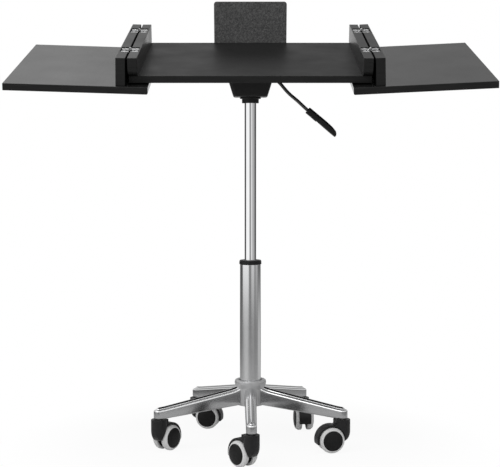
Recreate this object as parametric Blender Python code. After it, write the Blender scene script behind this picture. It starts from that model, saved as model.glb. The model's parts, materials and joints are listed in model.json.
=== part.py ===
"""Laptop cart: star base on twin-wheel castors, gas-lift column, tilting top with two folding wings."""

import math

import bmesh
import bpy
from mathutils import Matrix, Vector

# The frame: the column stands on its axis at x = 0, the user is on the -Y side, the floor is z = 0
COLUMN_Y = 0.0088

# Clearances, the edge break of turned pieces, and how far a cutter stands past what it cuts
GAP = 0.0003
RUN = 0.0004
EASE = 0.001
PAST = 0.05

# Castors
WHEEL_R = 0.030
WHEEL_IN = 0.006
WHEEL_OUT = 0.0252
TREAD_FROM = 0.008
TREAD_TO = 0.0172
DISC_R = 0.0235
DISC_RIM = 0.0222
TRAIL = 0.029
AXLE_R = 0.003
AXLE_HALF = 0.0192
HOOD_WEB = 0.0054
HOOD_HALF = 0.015
HOOD_SKIN = 0.0045
WHEEL_ROOM = 0.0015
BOSS_R = 0.0185
STEM_R = 0.0055
STEM_IN_LEG = 0.0185
CASTOR_H = 0.078
CASTOR_TO_LEG = 0.0012

# Base
LEG_COUNT = 5
FIRST_LEG_DEG = -89.4
HEADINGS_DEG = (130.9, 193.8, -83.5, -11.5, 53.5)
LEG_R = 0.2265
LEG_END_R = 0.012
LEG_HALF_HUB = 0.0138
LEG_HALF_END = LEG_END_R
LEG_DEEP_END = 0.0262
LEG_DEEP_HUB = 0.0415
LEG_CLIMB = 0.0373
LEG_EDGE_R = 0.0055
SEAM_HALF = 0.0016
SEAM_DEEP = 0.0014
LEG_WALL = 0.0025
HUB_R = 0.033
HUB_BELOW_LEG = 0.002
HUB_ABOVE_LEG = 0.004
COLLAR_R = 0.0375
COLLAR_H = 0.016

# Column
TUBE_R = 0.025
TUBE_BORE = 0.022
TUBE_IN_HUB = 0.0015
TUBE_LEN = 0.336
TUBE_FLOOR = 0.005
BUSH_R = 0.0264
BUSH_HEAD_H = 0.010
BUSH_SLEEVE = 0.065
CYL_R = 0.014
CYL_BORE = 0.012
CYL_LEN = 0.481
CYL_IN_TUBE = 0.063
CYL_FLOOR = 0.005
CYL_BORE_LEN = 0.275
ROD_R = 0.005
PISTON_R = 0.0115
PISTON_H = 0.012
FLANGE_R = 0.009
FLANGE_H = 0.005
CLIP_H = 0.005
ROD_TAIL = 0.0065
BEARING_R = 0.017
BEARING_H = 0.0056
NECK_R = 0.020
NECK_H = 0.0096
RING_R = 0.0248
RING_H = 0.0045

# Lift head
CYL_IN_HEAD = 0.022
HEAD_H = 0.046
HEAD_HALF_LOW = 0.040
HEAD_FLARE = 0.316
HEAD_DEEP_LOW = 0.039
HEAD_DEEP_TOP = 0.045
HEAD_CORNER = 0.009
POCKET_X = 0.025
POCKET_Y = 0.034
POCKET_FLOOR = 0.007
EAR_IN = 0.0255
EAR_T = 0.006
EAR_R = 0.0083
BUTTON_R = 0.004
BUTTON_UP = 0.007
BUTTON_LEN = 0.017
BUTTON_TRAVEL = 0.0046

# Lever: its bends and its handle are counted from its pivot, x to the right and z up
LEVER_R = 0.004
LEVER_PIVOT_X = 0.0435
LEVER_PIVOT_DROP = 0.006
LEVER_PIN_R = 0.002
LEVER_PIN_HALF = 0.014
LEVER_SLOT = 0.0078
LEVER_BENDS = (
    (-0.0455, -0.0060), (-0.0235, -0.0052), (-0.0115, -0.0030), (0.0, 0.0), (0.0105, 0.0010),
    (0.0192, -0.0014), (0.0290, -0.0107), (0.0408, -0.0245), (0.0512, -0.0350), (0.0612, -0.0433),
    (0.0707, -0.0515),
)
HANDLE_FROM = (0.0916, -0.0706)
HANDLE_DIP_DEG = 39.6
HANDLE_LEN = 0.0905
HANDLE_HALF = 0.0082
HANDLE_SOCKET = 0.026
HANDLE_LEAD = 0.003

# Tilting top, in its own frame: u to the right, v away from the user, w up from the panel's upper face
TILT_DEG = 15.3
PIVOT_UP = 0.0139
PIVOT_DROP = 0.030
TILT_PIN_R = 0.004
PLATE_T = 0.004
BRACKET_HALF_U = 0.055
BRACKET_HALF_V = 0.045
FLANGE_OUT = 0.0245
FLANGE_T = 0.004
PANEL_HALF_U = 0.2687
PANEL_HALF_V = 0.198
PANEL_T = 0.016
REBATE = 0.0005
RAIL_T = 0.0212
RAIL_H = 0.0443
RAIL_NEAR = -0.222
RAIL_FAR = 0.206
NOSE_H = 0.017
REAR_HALF_U = 0.0905
REAR_T = 0.004
REAR_TOP = 0.102
REAR_CORNER = 0.007

# Wings and their hinges
HINGE_GAP = 0.002
HINGE_UP = 0.0016
LEAF_T = 0.002
LEAF_SUNK = 0.0018
LEAF_REACH = 0.0192
LEAF_LEN = 0.052
MORTISE_ROOM = 0.0008
LEAF_V = 0.122
KNUCKLE_R = 0.0028
KNUCKLE_BORE = 0.0019
HINGE_PIN_R = 0.0015
KNUCKLE_GAP = 0.0005
BARREL_LEN = 0.012
STRAP_T = 0.0013
STRAP_DEG = 45.0
WING_DROP = 0.018
WING_T = 0.016
WING_OUT = 0.270
WING_UNDER = 0.048
WING_NEAR = -0.228
WING_FAR = 0.2255
RISE_LEFT_DEG = 1.8
RISE_RIGHT_DEG = 2.8

# Heights, each from the piece below it
LEG_LOW_END = CASTOR_H
LEG_TOP_END = LEG_LOW_END + LEG_DEEP_END
LEG_TOP_HUB = LEG_TOP_END + LEG_CLIMB
LEG_LOW_HUB = LEG_TOP_HUB - LEG_DEEP_HUB
HUB_LOW = LEG_LOW_HUB - HUB_BELOW_LEG
COLLAR_LOW = LEG_TOP_HUB + HUB_ABOVE_LEG
COLLAR_TOP = COLLAR_LOW + COLLAR_H
TUBE_LOW = HUB_LOW + TUBE_IN_HUB
TUBE_TOP = TUBE_LOW + TUBE_LEN
BUSH_TOP = TUBE_TOP + BUSH_HEAD_H
BUSH_LOW = TUBE_TOP - BUSH_SLEEVE
CYL_LOW = TUBE_TOP - CYL_IN_TUBE
CYL_TOP = CYL_LOW + CYL_LEN
HEAD_LOW = CYL_TOP - CYL_IN_HEAD
HEAD_TOP = HEAD_LOW + HEAD_H
RING_LOW = HEAD_LOW - GAP - RING_H
NECK_LOW = RING_LOW - NECK_H
BUTTON_TOP = CYL_TOP + BUTTON_UP
LEVER_PIVOT_Z = HEAD_TOP - LEVER_PIVOT_DROP
PIVOT_Z = HEAD_TOP + PIVOT_UP

# The tilted top and its hinges
TILT = math.radians(TILT_DEG)
TOP_V = PIVOT_DROP * math.tan(TILT)
HINGE_U = PANEL_HALF_U + HINGE_GAP
HINGE_W = RAIL_H + HINGE_UP
LEAF_TOP = -HINGE_UP - LEAF_SUNK
LEAF_START = HINGE_GAP + GAP
MORTISE_FLOOR = LEAF_TOP - LEAF_T - GAP
RAIL_FOOT = GAP - REBATE

# Facets of round pieces
ROUND = 28
SMALL = 14
WHEEL_STEPS = 24


def clear_scene():
    for item in list(bpy.data.objects):
        bpy.data.objects.remove(item, do_unlink=True)


def finish(name, colour, metallic, roughness):
    material = bpy.data.materials.new(name)
    material.use_nodes = True
    shader = material.node_tree.nodes["Principled BSDF"]
    shader.inputs["Base Color"].default_value = (*colour, 1.0)
    shader.inputs["Metallic"].default_value = metallic
    shader.inputs["Roughness"].default_value = roughness
    return material


CHROME = ((0.75, 0.76, 0.78), 1.0, 0.12)
STEEL = ((0.62, 0.63, 0.65), 1.0, 0.3)
BLACK_PLASTIC = ((0.02, 0.02, 0.022), 0.0, 0.45)
BLACK_BOARD = ((0.025, 0.024, 0.024), 0.0, 0.3)
BLACK_PAINT = ((0.03, 0.03, 0.032), 0.0, 0.4)
GREY_TYRE = ((0.5, 0.5, 0.5), 0.0, 0.6)


def frame(name, place, turn=(0.0, 0.0, 0.0), parent=None):
    """An empty that carries a group of pieces."""
    empty = bpy.data.objects.new(name, None)
    bpy.context.scene.collection.objects.link(empty)
    empty.location = place
    empty.rotation_euler = turn
    empty.parent = parent
    return empty


def mesh_from(verts, faces):
    mesh = bpy.data.meshes.new("solid")
    mesh.from_pydata([tuple(v) for v in verts], [], faces)
    work = bmesh.new()
    work.from_mesh(mesh)
    bmesh.ops.recalc_face_normals(work, faces=work.faces)
    work.to_mesh(mesh)
    work.free()
    return mesh


def place(name, mesh, look, parent=None, at=(0.0, 0.0, 0.0), turn=(0.0, 0.0, 0.0), sharp_deg=40.0):
    mesh = mesh.copy()
    mesh.name = name
    mesh.shade_smooth()
    mesh.set_sharp_from_angle(angle=math.radians(sharp_deg))
    mesh.materials.clear()
    mesh.materials.append(finish(name, *look))
    item = bpy.data.objects.new(name, mesh)
    bpy.context.scene.collection.objects.link(item)
    item.location = at
    item.rotation_euler = turn
    item.parent = parent
    return item


def lathe(profile, steps=ROUND, ring=False):
    """Turned solid about Z from (radius, height) points; a ring joins its last point to its first."""
    verts = []
    rows = []
    for radius, height in profile:
        count = steps if radius > 0 else 1
        rows.append(list(range(len(verts), len(verts) + count)))
        for i in range(count):
            angle = math.tau * i / steps
            verts.append((radius * math.cos(angle), radius * math.sin(angle), height))
    faces = []
    pairs = list(zip(rows, rows[1:]))
    if ring:
        pairs.append((rows[-1], rows[0]))
    for low, high in pairs:
        for i in range(steps):
            j = (i + 1) % steps
            corners = (low[i % len(low)], low[j % len(low)], high[j % len(high)], high[i % len(high)])
            faces.append(tuple(dict.fromkeys(corners)))
    if not ring:
        faces += [tuple(row) for row in (rows[0], rows[-1]) if len(row) > 1]
    return mesh_from(verts, faces)


def loft(sections):
    """Solid through sections of equal point counts, closed at both ends."""
    count = len(sections[0])
    verts = [point for section in sections for point in section]
    faces = []
    for k in range(len(sections) - 1):
        for i in range(count):
            j = (i + 1) % count
            faces.append((k * count + i, k * count + j, (k + 1) * count + j, (k + 1) * count + i))
    faces.append(tuple(range(count)))
    faces.append(tuple(range((len(sections) - 1) * count, len(sections) * count)))
    return mesh_from(verts, faces)


def prism(outline, low, high, axis):
    """Outline of two coordinates drawn out along the third axis, kept in x, y, z order."""
    def point(a, b, c):
        return {"x": (c, a, b), "y": (a, c, b), "z": (a, b, c)}[axis]
    return loft([[point(a, b, c) for a, b in outline] for c in (low, high)])


def box(x0, x1, y0, y1, z0, z1):
    return prism(((x0, y0), (x1, y0), (x1, y1), (x0, y1)), z0, z1, "z")


def rod_mesh(radius, low, high, axis="z", steps=SMALL, at=(0.0, 0.0, 0.0)):
    """Round bar along an axis through a point."""
    mesh = lathe(((radius, low), (radius, high)), steps)
    turns = {
        "z": Matrix(),
        "x": Matrix.Rotation(math.pi / 2, 4, "Y"),
        "y": Matrix.Rotation(-math.pi / 2, 4, "X"),
    }
    mesh.transform(Matrix.Translation(at) @ turns[axis])
    return mesh


def helper(mesh):
    item = bpy.data.objects.new("helper", mesh)
    bpy.context.scene.collection.objects.link(item)
    return item


def combine(body, joins=(), cuts=(), keeps=()):
    """One mesh from a body, what is joined to it, what it is trimmed to, and what is cut from it."""
    base = helper(body)
    others = []
    for operation, meshes in (("UNION", joins), ("INTERSECT", keeps), ("DIFFERENCE", cuts)):
        for mesh in meshes:
            others.append(helper(mesh))
            step = base.modifiers.new(operation, "BOOLEAN")
            step.operation = operation
            step.solver = "EXACT"
            step.object = others[-1]
    bpy.context.view_layer.update()
    graph = bpy.context.evaluated_depsgraph_get()
    made = bpy.data.meshes.new_from_object(base.evaluated_get(graph))
    for item in (base, *others):
        bpy.data.objects.remove(item, do_unlink=True)
    return made


def arc(centre, radius, start_deg, end_deg, steps):
    span = math.radians(end_deg - start_deg)
    angles = [math.radians(start_deg) + span * i / steps for i in range(steps + 1)]
    return [(centre[0] + radius * math.cos(a), centre[1] + radius * math.sin(a)) for a in angles]


# Base and column tube


def build_hub(base):
    bore = TUBE_R + GAP
    profile = (
        (bore, HUB_LOW), (HUB_R - EASE, HUB_LOW), (HUB_R, HUB_LOW + EASE), (HUB_R, COLLAR_LOW - 0.0015),
        (COLLAR_R, COLLAR_LOW + 0.002), (COLLAR_R, COLLAR_TOP - 0.008),
        (COLLAR_R - 0.0016, COLLAR_TOP - 0.0028), (COLLAR_R - 0.0055, COLLAR_TOP),
        (TUBE_R + 0.0035, COLLAR_TOP - 0.0008), (bore, COLLAR_TOP - 0.0045),
    )
    place("base_hub", lathe(profile, ROUND, ring=True), CHROME, base)


def leg_section(half, low, high, edge, seam):
    """Half-round edges on the top, with the folded seam down the middle."""
    lip = min(0.0015, 0.3 * half)
    right = [(half - lip, low), (half, low + lip)]
    right += arc((half - edge, high - edge), edge, 0.0, 90.0, 3)
    right += [(seam, high), (seam * 0.4, high - SEAM_DEEP)]
    left = [(-y, z) for y, z in reversed(right)]
    return right + left


def leg_mesh():
    def at(x, half, high_drop=0.0):
        share = min(1.0, (x - HUB_R) / (LEG_R - HUB_R))
        low = LEG_LOW_HUB + (LEG_LOW_END - LEG_LOW_HUB) * share
        high = LEG_TOP_HUB + (LEG_TOP_END - LEG_TOP_HUB) * share - high_drop
        edge = min(LEG_EDGE_R, 0.7 * half)
        return leg_section(half, low, high, edge, min(SEAM_HALF, 0.25 * half))
    root = HUB_R - 0.006
    sections = [[(root, y, z) for y, z in at(root, LEG_HALF_HUB)]]
    sections.append([(LEG_R, y, z) for y, z in at(LEG_R, LEG_HALF_END)])
    for turn_deg, drop in ((32.0, 0.0006), (57.0, 0.0018), (76.0, 0.0036), (86.0, 0.0052)):
        turn = math.radians(turn_deg)
        half = LEG_END_R * math.cos(turn)
        x = LEG_R + LEG_END_R * math.sin(turn)
        sections.append([(x, y, z) for y, z in at(x, half, drop)])
    socket = rod_mesh(STEM_R + 0.0007, LEG_LOW_END - 0.01, LEG_LOW_END + STEM_IN_LEG + 0.001, steps=SMALL)
    socket.transform(Matrix.Translation((LEG_R, 0.0, 0.0)))
    hub = rod_mesh((HUB_R + GAP) / math.cos(math.pi / ROUND), HUB_LOW - PAST, COLLAR_TOP + PAST, steps=ROUND)
    hollow = []
    for x, half in ((HUB_R + 0.006, LEG_HALF_HUB), (LEG_R - LEG_END_R, LEG_HALF_END)):
        wide = half - LEG_WALL
        roof = max(z for y, z in at(x, half)) - SEAM_DEEP - LEG_WALL
        under = LEG_LOW_END - PAST
        right = [(wide, under), (wide, roof - 0.002), (wide - 0.003, roof)]
        left = [(-y, z) for y, z in reversed(right)]
        hollow.append([(x, y, z) for y, z in right + left])
    return combine(loft(sections), cuts=(socket, hub, loft(hollow)))


def leg_angle(i):
    return math.radians(FIRST_LEG_DEG) + math.tau * i / LEG_COUNT


def build_legs(base):
    mesh = leg_mesh()
    for i in range(LEG_COUNT):
        place(f"base_leg_{i + 1}", mesh, CHROME, base, turn=(0.0, 0.0, leg_angle(i)))


def build_tube(base):
    hole = ROD_R + 0.001
    floor = TUBE_LOW + TUBE_FLOOR
    tube = (
        (hole, TUBE_LOW), (TUBE_R, TUBE_LOW), (TUBE_R, TUBE_TOP), (TUBE_BORE, TUBE_TOP), (TUBE_BORE, floor),
        (hole, floor),
    )
    place("column_tube", lathe(tube, ROUND, ring=True), CHROME, base)
    bore = CYL_R + 2 * GAP
    sleeve = TUBE_BORE - RUN
    under = TUBE_TOP + GAP
    bush = (
        (bore, BUSH_LOW), (sleeve, BUSH_LOW), (sleeve, under), (BUSH_R, under), (BUSH_R, BUSH_TOP - 0.002),
        (BUSH_R - 0.0022, BUSH_TOP), (bore, BUSH_TOP),
    )
    place("tube_bush", lathe(bush, ROUND, ring=True), BLACK_PLASTIC, base)


# Castors


def hood_mesh():
    """Fender over both wheels, web between them, round boss and the swivel stem."""
    over = WHEEL_R + WHEEL_ROOM + HOOD_SKIN
    top = CASTOR_H - CASTOR_TO_LEG
    side = [(-BOSS_R, top - 0.0015), (-BOSS_R + 0.0015, top), (BOSS_R - 0.002, top), (BOSS_R, top - 0.002)]
    side += arc((TRAIL, WHEEL_R), over, 98.0, -15.0, 8)
    side += [(TRAIL + 0.014, WHEEL_R - 0.010), (TRAIL - 0.010, WHEEL_R - 0.011)]
    side += [(0.004, WHEEL_R - 0.0055), (-0.003, WHEEL_R - 0.004), (-0.0095, WHEEL_R)]
    side += [(-0.0145, WHEEL_R + 0.006), (-0.0173, WHEEL_R + 0.013), (-BOSS_R, WHEEL_R + 0.022)]
    plan = arc((0.0, 0.0), BOSS_R, 55.0, 305.0, 10)
    far = TRAIL + over + 0.004
    plan += [(0.020, -HOOD_HALF), (far, -HOOD_HALF), (far, HOOD_HALF), (0.020, HOOD_HALF)]
    body = prism(side, -0.03, 0.03, "y")
    rooms = []
    for sign in (1.0, -1.0):
        ends = sorted((sign * HOOD_WEB, sign * 0.04))
        rooms.append(rod_mesh(WHEEL_R + WHEEL_ROOM, ends[0], ends[1], "y", 28, (TRAIL, 0.0, WHEEL_R)))
    hole = rod_mesh(AXLE_R + GAP, -0.02, 0.02, "y", SMALL, (TRAIL, 0.0, WHEEL_R))
    shell = combine(body, keeps=(prism(plan, -0.02, 0.12, "z"),), cuts=(*rooms, hole))
    stem = rod_mesh(STEM_R, top - 0.012, CASTOR_H + STEM_IN_LEG, steps=SMALL)
    return combine(shell, joins=(stem,))


def wheel_mesh():
    """Wheel about Z that stands on a flat of its tread."""
    bore = AXLE_R + RUN
    tread = WHEEL_R / math.cos(math.pi / WHEEL_STEPS)
    profile = (
        (0.0, AXLE_HALF + 0.001), (bore, AXLE_HALF + 0.001), (bore, WHEEL_IN), (tread - 0.002, WHEEL_IN),
        (tread, TREAD_FROM), (tread, TREAD_TO), (DISC_R, DISC_RIM), (0.6 * DISC_R, WHEEL_OUT - 0.0007),
        (0.0, WHEEL_OUT),
    )
    mesh = lathe(profile, WHEEL_STEPS)
    mesh.transform(Matrix.Rotation(math.pi / WHEEL_STEPS, 4, "Z"))
    return mesh


def build_castors(base):
    hood = hood_mesh()
    wheel = wheel_mesh()
    axle = rod_mesh(AXLE_R, -AXLE_HALF, AXLE_HALF, "y", 12)
    for i in range(LEG_COUNT):
        turn = leg_angle(i)
        spot = (LEG_R * math.cos(turn), LEG_R * math.sin(turn), 0.0)
        swivel = frame(f"castor_{i + 1}_frame", spot, (0.0, 0.0, math.radians(HEADINGS_DEG[i])), base)
        name = f"castor_{i + 1}"
        place(f"{name}_hood", hood, BLACK_PLASTIC, swivel)
        centre = (TRAIL, 0.0, WHEEL_R)
        place(f"{name}_axle", axle, STEEL, swivel, centre)
        place(f"{name}_wheel_a", wheel, GREY_TYRE, swivel, centre, (-math.pi / 2, 0.0, 0.0))
        place(f"{name}_wheel_b", wheel, GREY_TYRE, swivel, centre, (math.pi / 2, 0.0, 0.0))


# Gas spring


def build_piston(column):
    floor = TUBE_LOW + TUBE_FLOOR
    shoulder = floor + GAP + BEARING_H + GAP
    head = CYL_LOW + CYL_FLOOR + 0.005
    rod = (
        (0.0, TUBE_LOW - ROD_TAIL), (ROD_R, TUBE_LOW - ROD_TAIL), (ROD_R, shoulder), (FLANGE_R, shoulder),
        (FLANGE_R, shoulder + FLANGE_H), (ROD_R, shoulder + FLANGE_H), (ROD_R, head), (PISTON_R, head),
        (PISTON_R, head + PISTON_H), (0.0, head + PISTON_H),
    )
    place("piston_rod", lathe(rod, 20), STEEL, column)
    inner = ROD_R + GAP
    seat = floor + GAP
    bearing = (
        (inner, seat), (BEARING_R, seat), (BEARING_R, seat + BEARING_H), (inner, seat + BEARING_H),
    )
    place("thrust_bearing", lathe(bearing, 20, ring=True), STEEL, column)
    high = TUBE_LOW - RUN
    clip = ((inner, high - CLIP_H), (FLANGE_R, high - CLIP_H), (FLANGE_R, high), (inner, high))
    place("retaining_clip", lathe(clip, 20, ring=True), STEEL, column)


def build_cylinder(column):
    top_hole = BUTTON_R + RUN
    hole_floor = BUTTON_TOP - BUTTON_LEN - BUTTON_TRAVEL - 0.0012
    floor = CYL_LOW + CYL_FLOOR
    seal = ROD_R + 2 * GAP
    cylinder = (
        (0.0, floor + CYL_BORE_LEN), (CYL_BORE, floor + CYL_BORE_LEN), (CYL_BORE, floor), (seal, floor),
        (seal, CYL_LOW), (CYL_R, CYL_LOW), (CYL_R, CYL_TOP - 0.003), (CYL_R - 0.0015, CYL_TOP),
        (top_hole, CYL_TOP), (top_hole, hole_floor), (0.0, hole_floor),
    )
    place("gas_cylinder", lathe(cylinder, ROUND), CHROME, column)
    bore = CYL_R + GAP
    under = HEAD_LOW - GAP
    collar = (
        (bore, NECK_LOW), (NECK_R - EASE, NECK_LOW), (NECK_R, NECK_LOW + EASE), (NECK_R, RING_LOW),
        (RING_R, RING_LOW), (RING_R, under), (bore, under),
    )
    place("cylinder_collar", lathe(collar, ROUND, ring=True), BLACK_PLASTIC, column)
    button = rod_mesh(BUTTON_R, BUTTON_TOP - BUTTON_LEN, BUTTON_TOP, steps=SMALL)
    place("valve_button", button, STEEL, column)


# Lift head and lever


def rounded_rect(half_x, half_y, corner, steps=2):
    points = []
    for sx, sy, start in ((1, 1, 0.0), (-1, 1, 90.0), (-1, -1, 180.0), (1, -1, 270.0)):
        points += arc((sx * (half_x - corner), sy * (half_y - corner)), corner, start, start + 90.0, steps)
    return points


def head_half(z):
    return HEAD_HALF_LOW + HEAD_FLARE * (z - HEAD_LOW)


def ear_outline(drop, half_foot):
    """Lug of a pivot: a round eye about the origin on a foot that is wider and lies below it."""
    return [(half_foot, -drop), *arc((0.0, 0.0), EAR_R, 0.0, 180.0, 8), (-half_foot, -drop)]


def build_head(column):
    sections = []
    for rise, inset in ((0.0, 0.0022), (0.0008, 0.0007), (0.0026, 0.0), (HEAD_H, 0.0)):
        z = HEAD_LOW + rise
        share = rise / HEAD_H
        deep = HEAD_DEEP_LOW + (HEAD_DEEP_TOP - HEAD_DEEP_LOW) * share
        sections.append([(x, y, z) for x, y in rounded_rect(head_half(z) - inset, deep - inset, HEAD_CORNER)])
    joins = []
    for sign in (1.0, -1.0):
        outline = [(y, PIVOT_Z + z) for y, z in ear_outline(PIVOT_Z - HEAD_TOP + 0.010, 0.012)]
        ends = sorted((sign * EAR_IN, sign * (EAR_IN + EAR_T)))
        joins.append(prism(outline, ends[0], ends[1], "x"))
    floor = HEAD_LOW + POCKET_FLOOR
    slot_low = LEVER_PIVOT_Z + LEVER_BENDS[0][1] - LEVER_R - 0.004
    ear_out = EAR_IN + EAR_T + 0.0008
    cuts = (
        box(-POCKET_X, POCKET_X, -POCKET_Y, POCKET_Y, floor, HEAD_TOP + PAST),
        rod_mesh(CYL_R + RUN, HEAD_LOW - 0.01, floor + 0.002, steps=ROUND),
        box(POCKET_X - 0.003, ear_out + 0.001, -LEVER_SLOT, LEVER_SLOT, slot_low, HEAD_TOP + 0.0032),
        box(ear_out, 0.08, -LEVER_SLOT, LEVER_SLOT, slot_low, HEAD_TOP + 0.03),
        rod_mesh(TILT_PIN_R + GAP, -0.04, 0.04, "x", SMALL, (0.0, 0.0, PIVOT_Z)),
        rod_mesh(LEVER_PIN_R + GAP, -LEVER_PIN_HALF - 0.001, LEVER_PIN_HALF + 0.001, "y", 12,
                 (LEVER_PIVOT_X, 0.0, LEVER_PIVOT_Z)),
    )
    place("lift_head", combine(loft(sections), joins=joins, cuts=cuts), BLACK_PAINT, column)
    pin = rod_mesh(TILT_PIN_R, -EAR_IN - EAR_T - 0.001, EAR_IN + EAR_T + 0.001, "x", SMALL)
    place("tilt_pin", pin, STEEL, column, (0.0, 0.0, PIVOT_Z))
    lever_pin = rod_mesh(LEVER_PIN_R, -LEVER_PIN_HALF, LEVER_PIN_HALF, "y", 12)
    place("lever_pin", lever_pin, STEEL, column, (LEVER_PIVOT_X, 0.0, LEVER_PIVOT_Z))


def sweep(path, radius, steps):
    """Round bar along a path that lies in the x-z plane."""
    sections = []
    for k, (x, z) in enumerate(path):
        before = path[max(k - 1, 0)]
        after = path[min(k + 1, len(path) - 1)]
        way = Vector((after[0] - before[0], after[1] - before[1])).normalized()
        ring = []
        for i in range(steps):
            angle = math.tau * i / steps
            side = radius * math.cos(angle)
            ring.append((x - way.y * side, radius * math.sin(angle), z + way.x * side))
        sections.append(ring)
    return loft(sections)


def handle_mesh():
    """Paddle grip along +x, thickness along z, broad side along y, with a rounded tip."""
    stations = (
        (0.0, 0.85, -0.85, 0.0075), (0.018, 1.0, -1.0, 0.0090), (0.35, 1.0, -1.04, 0.0110),
        (0.37, 1.0, -0.88, 0.0114), (0.52, 1.0, -0.93, 0.0130), (0.75, 0.89, -0.98, 0.0135),
        (0.90, 0.60, -0.99, 0.0120), (0.955, 0.28, -0.99, 0.0096), (0.985, -0.08, -0.97, 0.0070),
        (1.0, -0.40, -0.85, 0.0044),
    )
    sections = []
    for share, up, down, half in stations:
        x = HANDLE_LEN * share
        high = HANDLE_HALF * up
        low = HANDLE_HALF * down
        edge = 0.4 * (high - low)
        ring = [
            (half, low + edge), (half, high - edge), (half - edge, high), (edge - half, high),
            (-half, high - edge), (-half, low + edge), (edge - half, low), (half - edge, low),
        ]
        sections.append([(x, y, z) for y, z in ring])
    socket = rod_mesh(LEVER_R + GAP, -0.01, HANDLE_SOCKET, "x", 12)
    return combine(loft(sections), cuts=(socket,))


def build_lever(column):
    pivot = frame("lever_frame", (LEVER_PIVOT_X, 0.0, LEVER_PIVOT_Z), parent=column)
    dip = math.radians(HANDLE_DIP_DEG)
    start = Vector(HANDLE_FROM)
    way = Vector((math.cos(dip), -math.sin(dip)))
    inside = (start - way * HANDLE_LEAD, start + way * (HANDLE_SOCKET - 0.001))
    path = [*LEVER_BENDS, *(tuple(point) for point in inside)]
    hole = rod_mesh(LEVER_PIN_R + GAP, -0.02, 0.02, "y", 12)
    place("lever_rod", combine(sweep(path, LEVER_R, 12), cuts=(hole,)), BLACK_PAINT, pivot)
    place("lever_handle", handle_mesh(), BLACK_PLASTIC, pivot, (start.x, 0.0, start.y), (0.0, dip, 0.0))


# Tilting top. Its frame lies on the tilt axis, so heights are counted from there


def top_v(v):
    return v + TOP_V


def top_w(w):
    return w + PIVOT_DROP


def build_bracket(top):
    low = top_w(-PANEL_T - GAP - PLATE_T)
    high = low + PLATE_T
    plate = box(-BRACKET_HALF_U, BRACKET_HALF_U, -BRACKET_HALF_V, BRACKET_HALF_V, low, high)
    joins = []
    for sign in (1.0, -1.0):
        outline = [(v, -w) for v, w in ear_outline(low + 0.002, 0.012)]
        ends = sorted((sign * (FLANGE_OUT - FLANGE_T), sign * FLANGE_OUT))
        joins.append(prism(outline, ends[0], ends[1], "x"))
    hole = rod_mesh(TILT_PIN_R + RUN, -0.04, 0.04, "x", SMALL)
    place("tilt_bracket", combine(plate, joins=joins, cuts=(hole,)), BLACK_PAINT, top)


def mortises(axis_u, axis_v, axis_w, side):
    """Cutters for the two hinge leaves that lie to one side of a hinge axis."""
    ends = sorted((axis_u, axis_u + side * (LEAF_REACH + MORTISE_ROOM)))
    half = LEAF_LEN / 2 + MORTISE_ROOM
    floor = axis_w + MORTISE_FLOOR
    spots = (axis_v - LEAF_V, axis_v + LEAF_V)
    return [box(ends[0], ends[1], v - half, v + half, floor, floor + RAIL_H) for v in spots]


def rail_mesh(sign):
    """Rail along v whose near end overhangs the panel, with a curved underside there."""
    nose = RAIL_H - NOSE_H
    start = -PANEL_HALF_V + 0.002
    reach = start - RAIL_NEAR
    outline = []
    for turn in map(math.radians, (0.0, 30.0, 55.0, 75.0)):
        outline.append((start - reach * math.sin(turn), RAIL_FOOT + (nose - RAIL_FOOT) * (1 - math.cos(turn))))
    outline += [(RAIL_NEAR, nose), (RAIL_NEAR, RAIL_H), (RAIL_FAR, RAIL_H), (RAIL_FAR, RAIL_FOOT)]
    sides = sorted((sign * PANEL_HALF_U, sign * (PANEL_HALF_U - RAIL_T)))
    rail = prism([(top_v(v), top_w(w)) for v, w in outline], sides[0], sides[1], "x")
    return combine(rail, cuts=mortises(sign * HINGE_U, TOP_V, top_w(HINGE_W), -sign))


def panel_mesh():
    """Board with a shallow rebate under each rail, so that its deck lies between the rails."""
    deck = PANEL_HALF_U - RAIL_T - GAP
    right = [(PANEL_HALF_U, -PANEL_T), (PANEL_HALF_U, -REBATE), (deck, -REBATE), (deck, 0.0)]
    left = [(-u, w) for u, w in reversed(right)]
    return prism([(u, top_w(w)) for u, w in right + left], top_v(-PANEL_HALF_V), top_v(PANEL_HALF_V), "y")


def build_panel(top):
    place("centre_panel", panel_mesh(), BLACK_BOARD, top)
    for side, sign in (("left", -1.0), ("right", 1.0)):
        place(f"inner_rail_{side}", rail_mesh(sign), BLACK_BOARD, top)
    low = -PANEL_T
    outline = [(-REAR_HALF_U, low), (REAR_HALF_U, low)]
    outline += arc((REAR_HALF_U - REAR_CORNER, REAR_TOP - REAR_CORNER), REAR_CORNER, 0.0, 90.0, 4)
    outline += arc((REAR_CORNER - REAR_HALF_U, REAR_TOP - REAR_CORNER), REAR_CORNER, 90.0, 180.0, 4)
    back = top_v(PANEL_HALF_V) + GAP
    plate = prism([(u, top_w(w)) for u, w in outline], back, back + REAR_T, "y")
    place("rear_plate", plate, BLACK_PAINT, top)


def strap_foot(depth):
    """How far out the sloping strap lies, at a depth under its upper face, where it runs into the plate."""
    slope = math.radians(STRAP_DEG)
    level = LEAF_TOP - LEAF_T / 2
    return (KNUCKLE_R - depth - level * math.sin(slope)) / math.cos(slope), level


def knuckle_mesh(low, high, strap):
    """Raised eye of a hinge about its axis, on a sloping strap or on a neck that stands on the plate."""
    if strap:
        opening = math.degrees(math.acos((KNUCKLE_R - STRAP_T) / KNUCKLE_R))
        outline = arc((0.0, 0.0), KNUCKLE_R, STRAP_DEG, STRAP_DEG + 360.0 - opening, 11)
        outline += [strap_foot(STRAP_T), strap_foot(0.0)]
    else:
        foot = LEAF_TOP - LEAF_T / 2
        outline = arc((0.0, 0.0), KNUCKLE_R, 0.0, 270.0, 10)
        outline += [(LEAF_START + GAP, foot), (2 * LEAF_START, foot)]
    return prism(outline, low, high, "y")


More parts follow.
